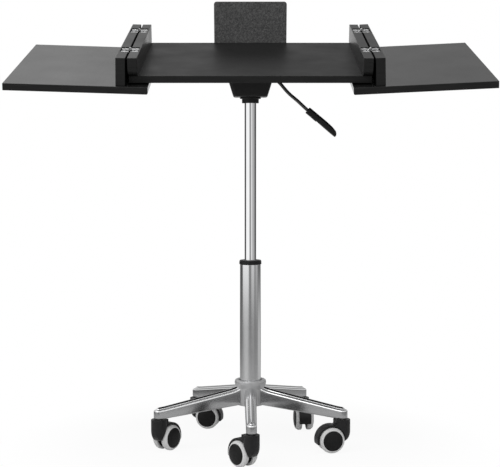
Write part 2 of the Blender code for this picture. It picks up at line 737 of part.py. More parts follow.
def leaf_mesh(sign, strap):
    """Hinge leaf along +x: a sunk plate with an eye on one side of its middle."""
    half = LEAF_LEN / 2
    plate = box(LEAF_START, LEAF_REACH, -half, half, LEAF_TOP - LEAF_T, LEAF_TOP)
    low, high = sorted((sign * KNUCKLE_GAP / 2, sign * BARREL_LEN / 2))
    cuts = []
    if strap:
        edge = strap_foot(STRAP_T)[0] - 0.0005
        cuts.append(box(0.0, edge, low - KNUCKLE_GAP, high + KNUCKLE_GAP, LEAF_TOP - 0.01, LEAF_TOP + 0.0005))
    bore = rod_mesh(KNUCKLE_BORE, -0.02, 0.02, "y", 10)
    eye = combine(knuckle_mesh(low, high, strap), cuts=(bore,))
    return combine(combine(plate, cuts=cuts), joins=(eye,))


def wing_mesh(sign, high):
    """Board whose inner strip, under the outer rail and the panel, is rebated below the deck."""
    deck = HINGE_GAP + RAIL_T + GAP
    low = high - WING_T
    outline = ((-WING_UNDER, low), (WING_OUT, low), (WING_OUT, high), (deck, high), (deck, high - REBATE),
               (-WING_UNDER, high - REBATE))
    return prism([(sign * u, w) for u, w in outline], WING_NEAR, WING_FAR, "y")


def build_wing(top, side, sign, rise_deg):
    """A wing in a frame on its hinge axis, and the two hinges that carry it."""
    axis = (sign * HINGE_U, TOP_V, top_w(HINGE_W))
    fold = frame(f"wing_{side}_frame", axis, (0.0, -sign * math.radians(rise_deg), 0.0), top)
    out = 0.0 if sign > 0 else math.pi
    high = -HINGE_W - WING_DROP
    place(f"wing_{side}", wing_mesh(sign, high), BLACK_BOARD, fold)
    sides = sorted((sign * HINGE_GAP, sign * (HINGE_GAP + RAIL_T)))
    block = box(sides[0], sides[1], RAIL_NEAR, RAIL_FAR, high + RAIL_FOOT, -HINGE_UP)
    place(f"outer_rail_{side}", combine(block, cuts=mortises(0.0, 0.0, 0.0, sign)), BLACK_BOARD, fold)
    pin = rod_mesh(HINGE_PIN_R, -BARREL_LEN / 2, BARREL_LEN / 2, "y", 10)
    fixed_leaf = leaf_mesh(sign, True)
    moving_leaf = leaf_mesh(sign, False)
    for spot, v in (("near", -LEAF_V), ("far", LEAF_V)):
        on_top = (axis[0], TOP_V + v, axis[2])
        place(f"hinge_{side}_{spot}_fixed_leaf", fixed_leaf, STEEL, top, on_top, (0.0, 0.0, math.pi - out))
        place(f"hinge_{side}_{spot}_pin", pin, STEEL, top, on_top)
        place(f"hinge_{side}_{spot}_wing_leaf", moving_leaf, STEEL, fold, (0.0, v, 0.0), (0.0, 0.0, out))


def build_top(column):
    top = frame("tilt_frame", (0.0, 0.0, PIVOT_Z), (TILT, 0.0, 0.0), column)
    build_bracket(top)
    build_panel(top)
    build_wing(top, "left", -1.0, RISE_LEFT_DEG)
    build_wing(top, "right", 1.0, RISE_RIGHT_DEG)


def build_cart():
    clear_scene()
    column = frame("column_frame", (0.0, COLUMN_Y, 0.0))
    build_hub(column)
    build_legs(column)
    build_tube(column)
    build_castors(column)
    build_piston(column)
    build_cylinder(column)
    build_head(column)
    build_lever(column)
    build_top(column)


build_cart()
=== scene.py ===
"""Looks of the laptop cart: chromed base and gas lift, black boards, moulded castors, studio light."""

import json
from math import acos, atan2, copysign, cos, degrees, exp, log1p, pi, radians, sin, tan, tau

import bmesh
import bpy
import numpy as np
from mathutils import Matrix, Vector


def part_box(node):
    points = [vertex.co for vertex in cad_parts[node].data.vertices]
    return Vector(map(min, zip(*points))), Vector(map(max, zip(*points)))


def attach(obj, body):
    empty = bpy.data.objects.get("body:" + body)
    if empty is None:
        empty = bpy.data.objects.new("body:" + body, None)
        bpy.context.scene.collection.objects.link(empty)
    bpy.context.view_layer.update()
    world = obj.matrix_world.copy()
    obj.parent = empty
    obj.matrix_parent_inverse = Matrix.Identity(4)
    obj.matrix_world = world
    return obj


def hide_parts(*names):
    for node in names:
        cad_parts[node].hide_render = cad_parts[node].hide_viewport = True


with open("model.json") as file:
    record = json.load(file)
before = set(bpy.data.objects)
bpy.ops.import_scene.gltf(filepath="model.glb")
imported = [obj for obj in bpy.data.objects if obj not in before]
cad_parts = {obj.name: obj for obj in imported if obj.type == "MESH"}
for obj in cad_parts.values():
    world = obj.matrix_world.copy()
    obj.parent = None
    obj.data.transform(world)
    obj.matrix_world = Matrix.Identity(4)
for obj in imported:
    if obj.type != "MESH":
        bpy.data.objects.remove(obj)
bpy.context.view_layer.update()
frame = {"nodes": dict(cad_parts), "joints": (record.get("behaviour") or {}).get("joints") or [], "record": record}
JOINTS = {joint["name"]: joint for joint in frame["joints"]}
MOUNTS = {mount["name"]: mount for mount in frame["record"]["mounts"]}
SIDES = (("left", -1.0), ("right", 1.0))
CASTORS = range(1, 6)

# Sizes of the base and its castors that a node's box doesn't give
WHEEL_R = 0.030
BORE_GAP = 0.0004
TYRE_FOOT = 0.0237
TREAD_FROM = 0.0285
CORE_R = 0.0236
DISC_EDGE = 0.0219
WHEEL_FACE = 0.0252
WHEEL_IN = 0.006
AXLE_R = 0.003
AXLE_HALF = 0.0192
HOOD_WEB = 0.0054
HOOD_HALF = 0.015
HOOD_OVER = 0.036
WHEEL_ROOM = 0.0315
HOOD_BEHIND = ((0.014, -0.010), (-0.010, -0.011))
BOSS_R = 0.0185
HOOD_FRONT = (
    (0.004, -0.0055), (-0.003, -0.004), (-0.0095, 0.0), (-0.0145, 0.006), (-0.0173, 0.013), (-BOSS_R, 0.022),
)
STEM_R = 0.0055
HOOD_BELOW_LEG = 0.0012
NOSE_FROM = 0.020
NOSE_DEEP = 0.0285
LEG_END_R = 0.012
LEG_HALF_HUB = 0.0138
LEG_TOP_HUB = 0.1415
LEG_TOP_END = 0.1042
LEG_LOW_HUB = 0.100
LEG_LOW_END = 0.078
LEG_ROOF = (
    (0.0, 0.0, 0.0), (0.07, 0.0002, 0.0), (0.43, 0.0031, 0.0008), (0.52, 0.0047, 0.0008), (0.70, 0.0060, 0.0),
)
LEG_ROOT = (-0.003, 0.0, 0.0018, 0.004, 0.0065, 0.0095, 0.0135, 0.0185, 0.025)
LEG_SOFT_END = 0.006
SHOULDER_H = 0.0098
LEG_WALL = 0.0022
# Leg faces that look up by more than this take the brighter chrome: painted highlight on the tops, painted shade
# on the sides
LIT_TOP_FROM = 0.10
SIDE_FLARE = 0.0006
TOP_FLARE = 0.0032
FLARE_RUN = 0.0075
HUB_R = 0.033
COLLAR_R = 0.0375
COLLAR_LOW = 0.1455
COLLAR_DROP = 0.003
TUBE_R = 0.025
TUBE_BORE = 0.022

# Sizes of the gas lift and its head
CYL_R = 0.014
CYL_BORE = 0.012
CYL_BORE_LEN = 0.275
CYL_FLOOR = 0.005
SEAL_R = 0.0056
VALVE_R = 0.0044
VALVE_DEEP = 0.016
BUSH_SLEEVE = 0.0216
BUSH_HEAD_H = 0.0097
NECK_R = 0.020
RING_H = 0.0045
HEAD_H = 0.046
HEAD_HALF_LOW = 0.040
HEAD_HALF_TOP = 0.0545
HEAD_DEEP_LOW = 0.039
HEAD_DEEP_TOP = 0.045
HEAD_CORNER = 0.009
HEAD_FOOT = ((0.0, 0.0022), (0.0004, 0.0012), (0.0008, 0.0007), (0.0026, 0.0), (HEAD_H, 0.0))
POCKET = (0.025, 0.034, 0.007)
EAR_IN = 0.0255
EAR_OUT = 0.0315
EAR_R = 0.0083
EAR_FOOT = 0.012
PIN_HOLE_R = 0.0043
SLOT_HALF = 0.0078
SLOT_DROP = 0.014

# The lever's bends and its handle, counted from its pivot
LEVER_R = 0.004
LEVER_BENDS = (
    (-0.0455, -0.0060), (-0.0235, -0.0052), (-0.0115, -0.0030), (0.0, 0.0), (0.0105, 0.0010),
    (0.0192, -0.0014), (0.0290, -0.0107), (0.0408, -0.0245), (0.0512, -0.0350), (0.0612, -0.0433),
    (0.0707, -0.0515), (0.0893, -0.0687), (0.1109, -0.0865),
)
HANDLE_FROM = (0.0916, -0.0706)
HANDLE_DIP = radians(39.6)
HANDLE_LEN = 0.0905
HANDLE_HALF = 0.0082
HANDLE_SQUARE = 0.62
HANDLE_STATIONS = (
    (0.0, 0.85, -0.85, 0.0075), (0.018, 1.0, -1.0, 0.0090), (0.19, 1.0, -1.02, 0.0102),
    (0.35, 1.0, -1.04, 0.0110), (0.37, 1.0, -0.88, 0.0114), (0.52, 1.0, -0.93, 0.0130),
    (0.75, 0.89, -0.98, 0.0135), (0.90, 0.60, -0.99, 0.0120), (0.955, 0.28, -0.99, 0.0096),
    (0.985, -0.08, -0.97, 0.0070), (1.0, -0.40, -0.85, 0.0044),
)

# Boards, rails and hinges
BOARD_EDGE = 0.0008
INNER_CORNER = 0.0034
RAIL_EDGE = 0.0009
NOSE_H = 0.017
NOSE_RUN = 0.026
LEAF_T = 0.002
LEAF_TOP = -0.0034
LEAF_REACH = 0.0192
LEAF_HALF = 0.026
LEAF_CORNER = 0.0022
KNUCKLE_R = 0.0028
KNUCKLE_BORE = 0.0019
KNUCKLE_GAP = 0.0005
BARREL_LEN = 0.012
STRAP_T = 0.0013
STRAP_DEG = 45.0
LEAF_START = 0.0023
MORTISE_ROOM = 0.0008
MORTISE_FLOOR = -0.0057
BAND_HALF = 0.0105
BAND_DEEP = 0.0005
LEAF_SCREWS = ((0.0128, -0.0185), (0.0138, 0.0), (0.0128, 0.0185))
PLATE_CORNER = 0.007
PLATE_EDGE = 0.0008
PLATE_SCREWS = (-0.07, 0.0, 0.07)
PLATE_SCREW_UP = 0.008
BRACKET_T = 0.0043
BRACKET_SCREW_IN = 0.009

# Screws
SCREW_HEAD_R = 0.0029
SCREW_HEAD_H = 0.0016
SHANK_R = 0.0014
SCREW_SLOT = (0.0020, 0.00045, 0.0008)
PAN_HEAD_R = 0.0042
PAN_HEAD_H = 0.0024
TURN_STEP = 2.4

# Straight stretches of turned pieces that are longer than this get a ring of points near both ends
LONG_STRETCH = 0.008
BRACE = 0.0003

# Edges that turn by more than this stay sharp, and points nearer than this are one
SHARP_DEG = 35.0
SAME_POINT = 1e-7

# A corner's arc takes up to this share of a stretch, and a face looks along an axis from this cosine on
ARC_SHARE = 0.48
FACING = 0.7

# Grain of the moulded skins and how often they are smoothed
HOOD_SKIN = (0.00075, 5)
HEAD_SKIN = (0.0009, 3)

# The camera stands where the photograph was taken from
CAMERA_X = -0.0009
CAMERA_AWAY = 2.9257
CAMERA_Z = 0.7160
CAMERA_PITCH_DEG = 4.055
CAMERA_LENS = 88.74


# Frames of the moving groups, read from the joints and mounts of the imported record

def axes(origin, u, v, w):
    matrix = Matrix((u, v, w)).transposed().to_4x4()
    matrix.translation = origin
    return matrix


def joint_at(name):
    return Vector(JOINTS[name]["pos_m"])


def shift(*place):
    return Matrix.Translation(place)


def turned(angle, axis):
    return Matrix.Rotation(angle, 4, axis)


def top_frame():
    """On the deck of the centre panel: u to the right, v away from the user, w up from the deck."""
    deck = MOUNTS["laptop_deck"]
    u = Vector((1.0, 0.0, 0.0))
    w = Vector(deck["axis"]).normalized()
    return axes(Vector(deck["pos_m"]), u, w.cross(u), w)


def wing_frame(side, sign):
    """On the wing's hinge axis, with w square to its deck."""
    fold = f"{side}_wing_fold"
    w = Vector(MOUNTS[f"{side}_wing_deck"]["axis"]).normalized()
    v = Vector(JOINTS[fold]["axis"]).normalized() * -sign
    return axes(joint_at(fold), v.cross(w), v, w)


def castor_frame(i):
    """On the floor under the swivel, with x towards the axle."""
    swivel = joint_at(f"castor_{i}_swivel")
    axle = joint_at(f"castor_{i}_roll_a")
    x = Vector((axle.x - swivel.x, axle.y - swivel.y, 0.0)).normalized()
    z = Vector((0.0, 0.0, 1.0))
    return axes(Vector((swivel.x, swivel.y, 0.0)), x, z.cross(x), z)


COLUMN = shift(*joint_at("column_turn").xy, 0.0)
TOP = top_frame()
WINGS = {side: wing_frame(side, sign) for side, sign in SIDES}
LEVER = shift(*joint_at("lever_pull"))
PIVOT_Z = joint_at("top_tilt").z
SWIVEL = joint_at("castor_1_swivel")
AXLE = joint_at("castor_1_roll_a")
LEG_R = (SWIVEL - COLUMN.translation).to_2d().length
TRAIL = (AXLE - SWIVEL).to_2d().length


def span(part, matrix):
    """Lowest and highest corner of a CAD node in a frame."""
    back = matrix.inverted()
    points = np.array([back @ vertex.co for vertex in frame["nodes"][part].data.vertices])
    return Vector(points.min(0)), Vector(points.max(0))


# Mesh tools

def mesh_from(verts, faces, sharp_deg=SHARP_DEG, fill=False):
    mesh = bpy.data.meshes.new("shape")
    mesh.from_pydata([tuple(point) for point in verts], [], faces)
    tidy(mesh, sharp_deg, fill)
    return mesh


def tidy(mesh, sharp_deg=SHARP_DEG, fill=False):
    """Merges equal points, closes holes if asked, turns faces outward and shades smooth."""
    work = bmesh.new()
    work.from_mesh(mesh)
    bmesh.ops.remove_doubles(work, verts=work.verts, dist=SAME_POINT)
    bmesh.ops.dissolve_degenerate(work, edges=work.edges, dist=SAME_POINT)
    if fill:
        bmesh.ops.holes_fill(work, edges=work.edges)
    bmesh.ops.recalc_face_normals(work, faces=work.faces)
    work.to_mesh(mesh)
    work.free()
    shade(mesh, sharp_deg)


def shade(mesh, sharp_deg=SHARP_DEG):
    mesh.shade_smooth()
    mesh.set_sharp_from_angle(angle=radians(sharp_deg))


def arc(centre, radius, start_deg, end_deg, steps):
    span_rad = radians(end_deg - start_deg)
    angles = [radians(start_deg) + span_rad * i / steps for i in range(steps + 1)]
    return [(centre[0] + radius * cos(a), centre[1] + radius * sin(a)) for a in angles]


def rounded(corners, steps=6, closed=True):
    """Outline from (x, y) points and (x, y, radius) corners."""
    made = []
    count = len(corners)
    for i, (x, y, *soft) in enumerate(corners):
        corner = Vector((x, y))
        if not any(soft) or (not closed and i in (0, count - 1)):
            made.append((x, y))
            continue
        before = Vector(corners[i - 1][:2]) - corner
        after = Vector(corners[(i + 1) % count][:2]) - corner
        half = before.angle(after) / 2
        trim = min(soft[0] / tan(half), ARC_SHARE * before.length, ARC_SHARE * after.length)
        middle = corner + (before.normalized() + after.normalized()).normalized() * (trim / cos(half))
        first = corner + before.normalized() * trim - middle
        last = corner + after.normalized() * trim - middle
        radius = first.length
        made += [tuple(middle + first.slerp(last, k / steps) * radius) for k in range(steps + 1)]
    return made


def lathe(profile, steps=96, ring=False):
    """Solid about z from (radius, height) points; a ring joins the last to the first."""
    verts, rows, faces = [], [], []
    for radius, height in profile:
        count = steps if radius > 0.0 else 1
        rows.append(range(len(verts), len(verts) + count))
        angles = [tau * i / steps for i in range(count)]
        verts += [(radius * cos(angle), radius * sin(angle), height) for angle in angles]
    for low, high in zip(rows, [*rows[1:], rows[0]] if ring else rows[1:]):
        for i in range(steps):
            j = (i + 1) % steps
            corners = (low[i % len(low)], low[j % len(low)], high[j % len(high)], high[i % len(high)])
            faces.append(tuple(dict.fromkeys(corners)))
    if not ring:
        faces += [tuple(rows[0]), tuple(rows[-1])]
    return mesh_from(verts, [face for face in faces if len(face) > 2])


def braced(profile):
    """A profile with points near the ends of long stretches, which then shade straight."""
    made = []
    for first, second in zip(profile, [*profile[1:], profile[0]]):
        made.append(first)
        start, end = Vector(first), Vector(second)
        length = (end - start).length
        if length > LONG_STRETCH and min(first[0], second[0]) > 0.0:
            inset = BRACE / length
            made += [tuple(start.lerp(end, inset)), tuple(end.lerp(start, inset))]
    return made


def loft(sections, sharp_deg=SHARP_DEG):
    """Solid through sections of equal point counts, closed at both ends."""
    count = len(sections[0])
    verts = [point for section in sections for point in section]
    faces = []
    for k in range(len(sections) - 1):
        for i in range(count):
            j = (i + 1) % count
            faces.append((k * count + i, k * count + j, (k + 1) * count + j, (k + 1) * count + i))
    faces.append(tuple(range(count)))
    faces.append(tuple(range((len(sections) - 1) * count, len(sections) * count)))
    return mesh_from(verts, faces, sharp_deg)


def prism(outline, low, high, axis):
    """An outline drawn out along the axis that it lacks."""
    def point(a, b, c):
        return {"x": (c, a, b), "y": (a, c, b), "z": (a, b, c)}[axis]
    return loft([[point(a, b, c) for a, b in outline] for c in (low, high)])


def box(x0, x1, y0, y1, z0, z1):
    return prism(((x0, y0), (x1, y0), (x1, y1), (x0, y1)), z0, z1, "z")


def bar(radius, low, high, axis="z", steps=48, at=(0.0, 0.0, 0.0)):
    """Round bar along an axis through a point."""
    mesh = lathe(((radius, low), (radius, high)), steps)
    turns = {
        "z": Matrix(),
        "x": turned(pi / 2, "Y"),
        "y": turned(-pi / 2, "X"),
    }
    mesh.transform(shift(*at) @ turns[axis])
    return mesh


def placed(name, data):
    """A new object in the scene."""
    item = bpy.data.objects.new(name, data)
    bpy.context.scene.collection.objects.link(item)
    return item


def baked(item, others=()):
    """The mesh that an object's modifiers make; the object and its helpers go."""
    bpy.context.view_layer.update()
    graph = bpy.context.evaluated_depsgraph_get()
    made = bpy.data.meshes.new_from_object(item.evaluated_get(graph))
    for used in (item, *others):
        bpy.data.objects.remove(used, do_unlink=True)
    return made


def combine(body, joins=(), cuts=(), keeps=()):
    """A body with meshes joined to it, trimmed to others and with others cut from it."""
    base = placed("helper", body)
    others = []
    for operation, meshes in (("UNION", joins), ("INTERSECT", keeps), ("DIFFERENCE", cuts)):
        for mesh in meshes:
            others.append(placed("helper", mesh))
            step = base.modifiers.new(operation, "BOOLEAN")
            step.operation = operation
            step.object = others[-1]
    made = baked(base, others)
    tidy(made)
    return made


def bevel_edges(item, width, segments, angle_deg):
    bevel = item.modifiers.new("edges", "BEVEL")
    bevel.width = width
    bevel.segments = segments
    bevel.limit_method = "ANGLE"
    bevel.angle_limit = radians(angle_deg)


def eased(mesh, width, segments=3, angle_deg=40.0):
    """The mesh with its sharp edges rounded over."""
    item = placed("helper", mesh)
    bevel_edges(item, width, segments, angle_deg)
    mesh.shade_smooth()
    normals = item.modifiers.new("normals", "WEIGHTED_NORMAL")
    normals.keep_sharp = False
    return baked(item)


def moulded(mesh, voxel, passes):
    """The mesh as one skin with soft inner and outer corners."""
    item = placed("helper", mesh)
    skin = item.modifiers.new("skin", "REMESH")
    skin.mode = "VOXEL"
    skin.voxel_size = voxel
    skin.use_smooth_shade = True
    soft = item.modifiers.new("soft", "SMOOTH")
    soft.factor = 0.5
    soft.iterations = passes
    return baked(item)


def merged(parts):
    """One mesh from (mesh, matrix) copies."""
    work = bmesh.new()
    for mesh, matrix in parts:
        copy = mesh.copy()
        copy.transform(matrix)
        work.from_mesh(copy)
        bpy.data.meshes.remove(copy)
    made = bpy.data.meshes.new("merged")
    work.to_mesh(made)
    work.free()
    shade(made)
    return made


def piece(name, mesh, looks, matrix, body, slot, *nodes):
    """A piece in its frame: materials, body and the nodes it stands for; its slot is not used."""
    mesh.name = name
    if not mesh.materials:
        for look in looks:
            mesh.materials.append(look)
    item = placed(name, mesh)
    item.matrix_world = matrix
    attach(item, body)
    if nodes:
        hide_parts(*nodes)
    return item


def paint_board(mesh, gap=0.0):
    """Gives a face its axis's material, or the fourth, a darker and duller laminate that is painted shade, if it
    looks into a rail's gap.
    """
    for face in mesh.polygons:
        sizes = [abs(part) for part in face.normal]
        in_shaded_gap = face.normal.x * gap > FACING
        face.material_index = 3 if in_shaded_gap else sizes.index(max(sizes))


def paint_lit_tops(mesh, level):
    """Gives faces that look up the second material and all others the first; on the legs these are a lit and a
    shaded copy of the chrome, which is painted light.
    """
    for face in mesh.polygons:
        face.material_index = int(face.normal.z > level)


# Materials

def node(tree, kind, values=None, **settings):
    made = tree.nodes.new("ShaderNode" + kind)
    for key, value in settings.items():
        setattr(made, key, value)
    for key, value in (values or {}).items():
        if isinstance(value, bpy.types.NodeSocket):
            tree.links.new(value, made.inputs[key])
        else:
            made.inputs[key].default_value = value
    return made


def calc(tree, operation, first, second):
    """A number worked out from two others."""
    return node(tree, "Math", {0: first, 1: second}, operation=operation).outputs[0]


def here(tree):
    return node(tree, "TexCoord").outputs["Object"]


def noise(tree, scale, detail=2.0, roughness=0.5):
    """Noise over object coordinates; the scale is in waves per metre."""
    scale = (scale,) * 3 if isinstance(scale, float) else scale
    spread = node(tree, "Mapping", {"Vector": here(tree), "Scale": scale}).outputs["Vector"]
    values = {"Vector": spread, "Scale": 1.0, "Detail": detail, "Roughness": roughness}
    return node(tree, "TexNoise", values).outputs["Fac"]


def drawn(axis, long, fine):
    """Scale of a noise that is drawn out along one axis."""
    return tuple(long if k == axis else fine for k in range(3))


def tint(grey, *tones):
    return tuple(grey * tone for tone in tones)


def colours(tree, fac, *stops):
    """Colour ramp from (position, grey or colour) stops."""
    ramp = node(tree, "ValToRGB", {"Fac": fac})
    steps = ramp.color_ramp.elements
    while len(steps) < len(stops):
        steps.new(0.5)
    for step, (position, colour) in zip(steps, stops):
        step.position = position
        rgb = (colour,) * 3 if isinstance(colour, float) else colour
        step.color = (*rgb, 1.0)
    return ramp.outputs["Color"]


def between(tree, fac, low, high, start=0.3, end=0.7):
    values = {"Value": fac, "From Min": start, "From Max": end, "To Min": low, "To Max": high}
    return node(tree, "MapRange", values).outputs["Result"]


def mixed(tree, first, second, share):
    """Sum of two heights, the second at a share."""
    return calc(tree, "ADD", first, calc(tree, "MULTIPLY", second, share))


def material(name, **fixed):
    """A Principled material with the given values set all over."""
    look = bpy.data.materials.new(name)
    look.use_nodes = True
    for key, value in fixed.items():
        look.node_tree.nodes["Principled BSDF"].inputs[key.replace("_", " ")].default_value = value
    return look, look.node_tree


def dress(look, colour, sheen, height, depth):
    """Gives a material its colour, its roughness and its relief."""
    tree = look.node_tree
    bump = node(tree, "Bump", {"Height": height, "Distance": depth, "Strength": 1.0}).outputs["Normal"]
    for output, name in ((colour, "Base Color"), (sheen, "Roughness"), (bump, "Normal")):
        tree.links.new(output, tree.nodes["Principled BSDF"].inputs[name])
    return look


def chrome(name, grey, rough, axis, streak, metal=1.0):
    """Plated steel with fine drawn lines along an axis and a faint haze."""
    look, tree = material(name, Metallic=metal)
    lines = noise(tree, drawn(axis, 14.0, 2600.0))
    haze = noise(tree, 26.0, 3.0)
    dim, full = tint(grey, 0.965, 0.97, 0.98), tint(grey, 1.0, 1.003, 1.01)
    both = mixed(tree, haze, lines, streak)
    sheen = between(tree, both, rough * 0.85, rough * 1.15, 0.35, 0.75 + streak * 0.5)
    depth = 0.0000015 * (1.0 + 2.0 * streak)
    return dress(look, colours(tree, haze, (0.3, dim), (0.7, full)), sheen, lines, depth)


def laminate(name, axis, dark, light, rough, gloss):
    """Black melamine face: faint long grain, tiny pores and a satin skin."""
    look, tree = material(name, Specular_IOR_Level=gloss)
    grain = noise(tree, drawn(axis, 9.0, 420.0), 4.0, 0.6)
    pores = noise(tree, 1900.0)
    cloud = noise(tree, 11.0)
    colour = colours(tree, grain, (0.35, dark), (0.68, light))
    sheen = between(tree, mixed(tree, cloud, grain, 0.5), rough * 0.88, rough * 1.12, 0.5, 1.0)
    return dress(look, colour, sheen, mixed(tree, pores, grain, 0.6), 0.000008)


def edge_band(name, axis, rough, gloss):
    """Edge strip of the boards: streaks along it over a duller black."""
    look, tree = material(name, Specular_IOR_Level=gloss)
    grain = noise(tree, drawn(axis, 16.0, 1500.0), 4.0, 0.65)
    pores = noise(tree, 2400.0, 1.0)
    colour = colours(tree, grain, (0.36, 0.0075), (0.56, 0.0150), (0.72, 0.027))
    sheen = between(tree, grain, rough * 0.85, rough * 1.18)
    return dress(look, colour, sheen, mixed(tree, grain, pores, 0.4), 0.00008 * rough)


def black_plastic(name, rough, depth):
    """Moulded nylon: fine spark-eroded grain and a little wear that polishes it."""
    look, tree = material(name, Specular_IOR_Level=0.3)
    grain = noise(tree, 2100.0)
    wear = noise(tree, 70.0, 4.0, 0.6)
    colour = colours(tree, wear, (0.3, (0.0042, 0.0042, 0.0045)), (0.72, (0.0085, 0.0085, 0.009)))
    return dress(look, colour, between(tree, wear, rough * 1.12, rough * 0.85), grain, depth)


def black_paint(name, rough, gloss):
    """Powder coat with orange peel."""
    look, tree = material(name, Specular_IOR_Level=gloss)
    peel = noise(tree, 620.0, 1.0)
    speck = noise(tree, 3000.0, 1.0)
    colour = colours(tree, peel, (0.3, 0.0095), (0.7, 0.0145))
    sheen = between(tree, speck, rough * 0.88, rough * 1.15)
    return dress(look, colour, sheen, mixed(tree, peel, speck, 0.25), 0.00004)


def tyre_rubber():
    """Light grey soft tyre, a little dirtier towards its tread."""
    look, tree = material("grey_tyre")
    dust = noise(tree, 160.0, 4.0, 0.6)
    grain = noise(tree, 1800.0)
    parts = node(tree, "SeparateXYZ", {"Vector": here(tree)}).outputs
    flat = node(tree, "CombineXYZ", {"X": parts["X"], "Y": parts["Y"]}).outputs["Vector"]
    radius = node(tree, "VectorMath", {0: flat}, operation="LENGTH").outputs["Value"]
    tread = between(tree, radius, 0.0, 0.22, TREAD_FROM, WHEEL_R)
    soil = calc(tree, "SUBTRACT", dust, tread)
    colour = colours(tree, soil, (0.12, 0.50), (0.4, 0.62), (0.7, 0.68))
    return dress(look, colour, between(tree, dust, 0.62, 0.5), mixed(tree, grain, dust, 0.5), 0.00003)


def wheel_disc():
    """Black wheel cover with faint turned rings."""
    look, tree = material("black_wheel_disc", Specular_IOR_Level=0.2)
    values = {"Vector": here(tree), "Scale": 190.0, "Distortion": 0.6, "Detail": 1.0}
    rings = node(tree, "TexWave", values, wave_type="RINGS", rings_direction="Z").outputs["Fac"]
    grain = noise(tree, 2300.0)
    wear = noise(tree, 90.0, 4.0)
    colour = colours(tree, wear, (0.3, 0.0038), (0.7, 0.0070))
    sheen = between(tree, mixed(tree, wear, rings, 0.25), 0.34, 0.46, 0.4, 0.9)
    return dress(look, colour, sheen, mixed(tree, grain, rings, 0.5), 0.000014)


def plated_steel(name, grey, rough):
    """Zinc on hinges, screws and pins, with the plating's mottle and fine scratches."""
    look, tree = material(name, Metallic=1.0)
    mottle = noise(tree, 340.0, 4.0, 0.6)
    scratch = noise(tree, (120.0, 3400.0, 900.0))
    dim, full = tint(grey, 0.91, 0.918, 0.926), tint(grey, 1.04, 1.045, 1.05)
    colour = colours(tree, mottle, (0.3, dim), (0.7, full))
    sheen = between(tree, mixed(tree, mottle, scratch, 0.4), rough * 0.7, rough * 1.3, 0.45, 0.95)
    return dress(look, colour, sheen, mixed(tree, mottle, scratch, 0.5), 0.000012)


def blackened_steel():
    """Black oxide on the hinge screws, rubbed a little brighter here and there."""
    look, tree = material("black_oxide", Metallic=1.0)
    rub = noise(tree, 900.0, 3.0, 0.6)
    colour = colours(tree, rub, (0.35, 0.05), (0.75, 0.16))
    return dress(look, colour, between(tree, rub, 0.45, 0.32), rub, 0.00002)


def grained_sheet():
    """Dark vinyl-faced plate with pebbled grain and blotchy tone; the grain's hollows are darker, which is painted
    shade, and duller.
    """
    look, tree = material("grained_sheet")
    values = {"Vector": here(tree), "Scale": 560.0}
    pebble = node(tree, "TexVoronoi", values, feature="SMOOTH_F1").outputs["Distance"]
    blotch = noise(tree, 190.0, 5.0, 0.65)
    fine = noise(tree, 1500.0)
    height = mixed(tree, mixed(tree, blotch, pebble, -0.9), fine, 0.25)
    # The colour follows the relief, so the hollows between the pebbles are painted shade; the blotches are the
    # sheet's own tone
    colour = colours(tree, height, (0.08, 0.046), (0.30, 0.092), (0.55, 0.160))
    return dress(look, colour, between(tree, height, 0.66, 0.46, 0.1, 0.5), height, 0.00022)


X, Y, Z = range(3)
ROD_CHROME = chrome("polished_chrome", 0.92, 0.035, Z, 0.15)
TUBE_CHROME = chrome("satin_chrome", 0.84, 0.10, Z, 0.3)
HUB_CHROME = chrome("satin_chrome_hub", 0.46, 0.30, Z, 0.3, 0.4)
# The legs' sides take a darker copy of the chrome, which is painted shade, and their tops a brighter, smoother
# one, which is partly a polished finish and partly painted highlight
LEG_SIDE_SHADED_CHROME = chrome("satin_chrome_leg_sides_painted_shade", 0.40, 0.18, X, 0.3)
LEG_TOP_LIT_CHROME = chrome("polished_chrome_leg_tops_painted_highlight", 0.80, 0.08, X, 0.1)
WING_FACE = laminate("laminate_wing", Y, 0.0075, 0.0115, 0.24, 0.5)
PANEL_FACE = laminate("laminate_panel", X, 0.0065, 0.0100, 0.45, 0.2)
RAIL_TOP = laminate("laminate_rail_top", Y, 0.0065, 0.0125, 0.36, 0.36)
RAIL_SIDE = laminate("laminate_rail_side", Y, 0.0050, 0.0090, 0.33, 0.3)
# Rail faces that look into the gap between the rails take a darker, duller laminate: painted shade
GAP_SHADE_LAMINATE = laminate("laminate_rail_gap_painted_shade", Y, 0.0030, 0.0055, 0.70, 0.05)
NEAR_BAND = edge_band("edge_band_near", X, 0.43, 0.22)
END_BAND = edge_band("edge_band_end", Y, 0.18, 0.5)
HOOD_PLASTIC = black_plastic("black_nylon", 0.40, 0.00002)
GRIP_PLASTIC = black_plastic("black_grip", 0.46, 0.00004)
PAINT = black_paint("black_powder_coat", 0.42, 0.3)
ROD_PAINT = black_paint("black_rod_coat", 0.2, 1.0)
TYRE = tyre_rubber()
DISC = wheel_disc()
ZINC = plated_steel("zinc_plate", 0.72, 0.26)
LEAF_ZINC = plated_steel("zinc_hinge_plate", 0.94, 0.20)
# The eye and strap of the hinges take a brighter, smoother zinc: partly a polished finish, partly painted
# highlight
LIT_KNUCKLE_ZINC = plated_steel("zinc_plate_painted_highlight", 0.97, 0.10)
# The floor of the hinge leaves' pressed band takes an almost black zinc: painted shade
SHADED_BAND_ZINC = plated_steel("zinc_band_painted_shade", 0.05, 0.42)
OXIDE = blackened_steel()
SHEET = grained_sheet()
RAIL_LOOKS = (RAIL_SIDE, NEAR_BAND, RAIL_TOP, GAP_SHADE_LAMINATE)
LEAF_LOOKS = (LEAF_ZINC, SHADED_BAND_ZINC, LIT_KNUCKLE_ZINC)


# Base

def smooth_reach(x):
    """How far along a leg its slope has gone at x: it levels out softly over the castor."""
    left = LEG_SOFT_END * log1p(exp((LEG_R - x) / LEG_SOFT_END))
    return (LEG_R - left - HUB_R) / (LEG_R - HUB_R)


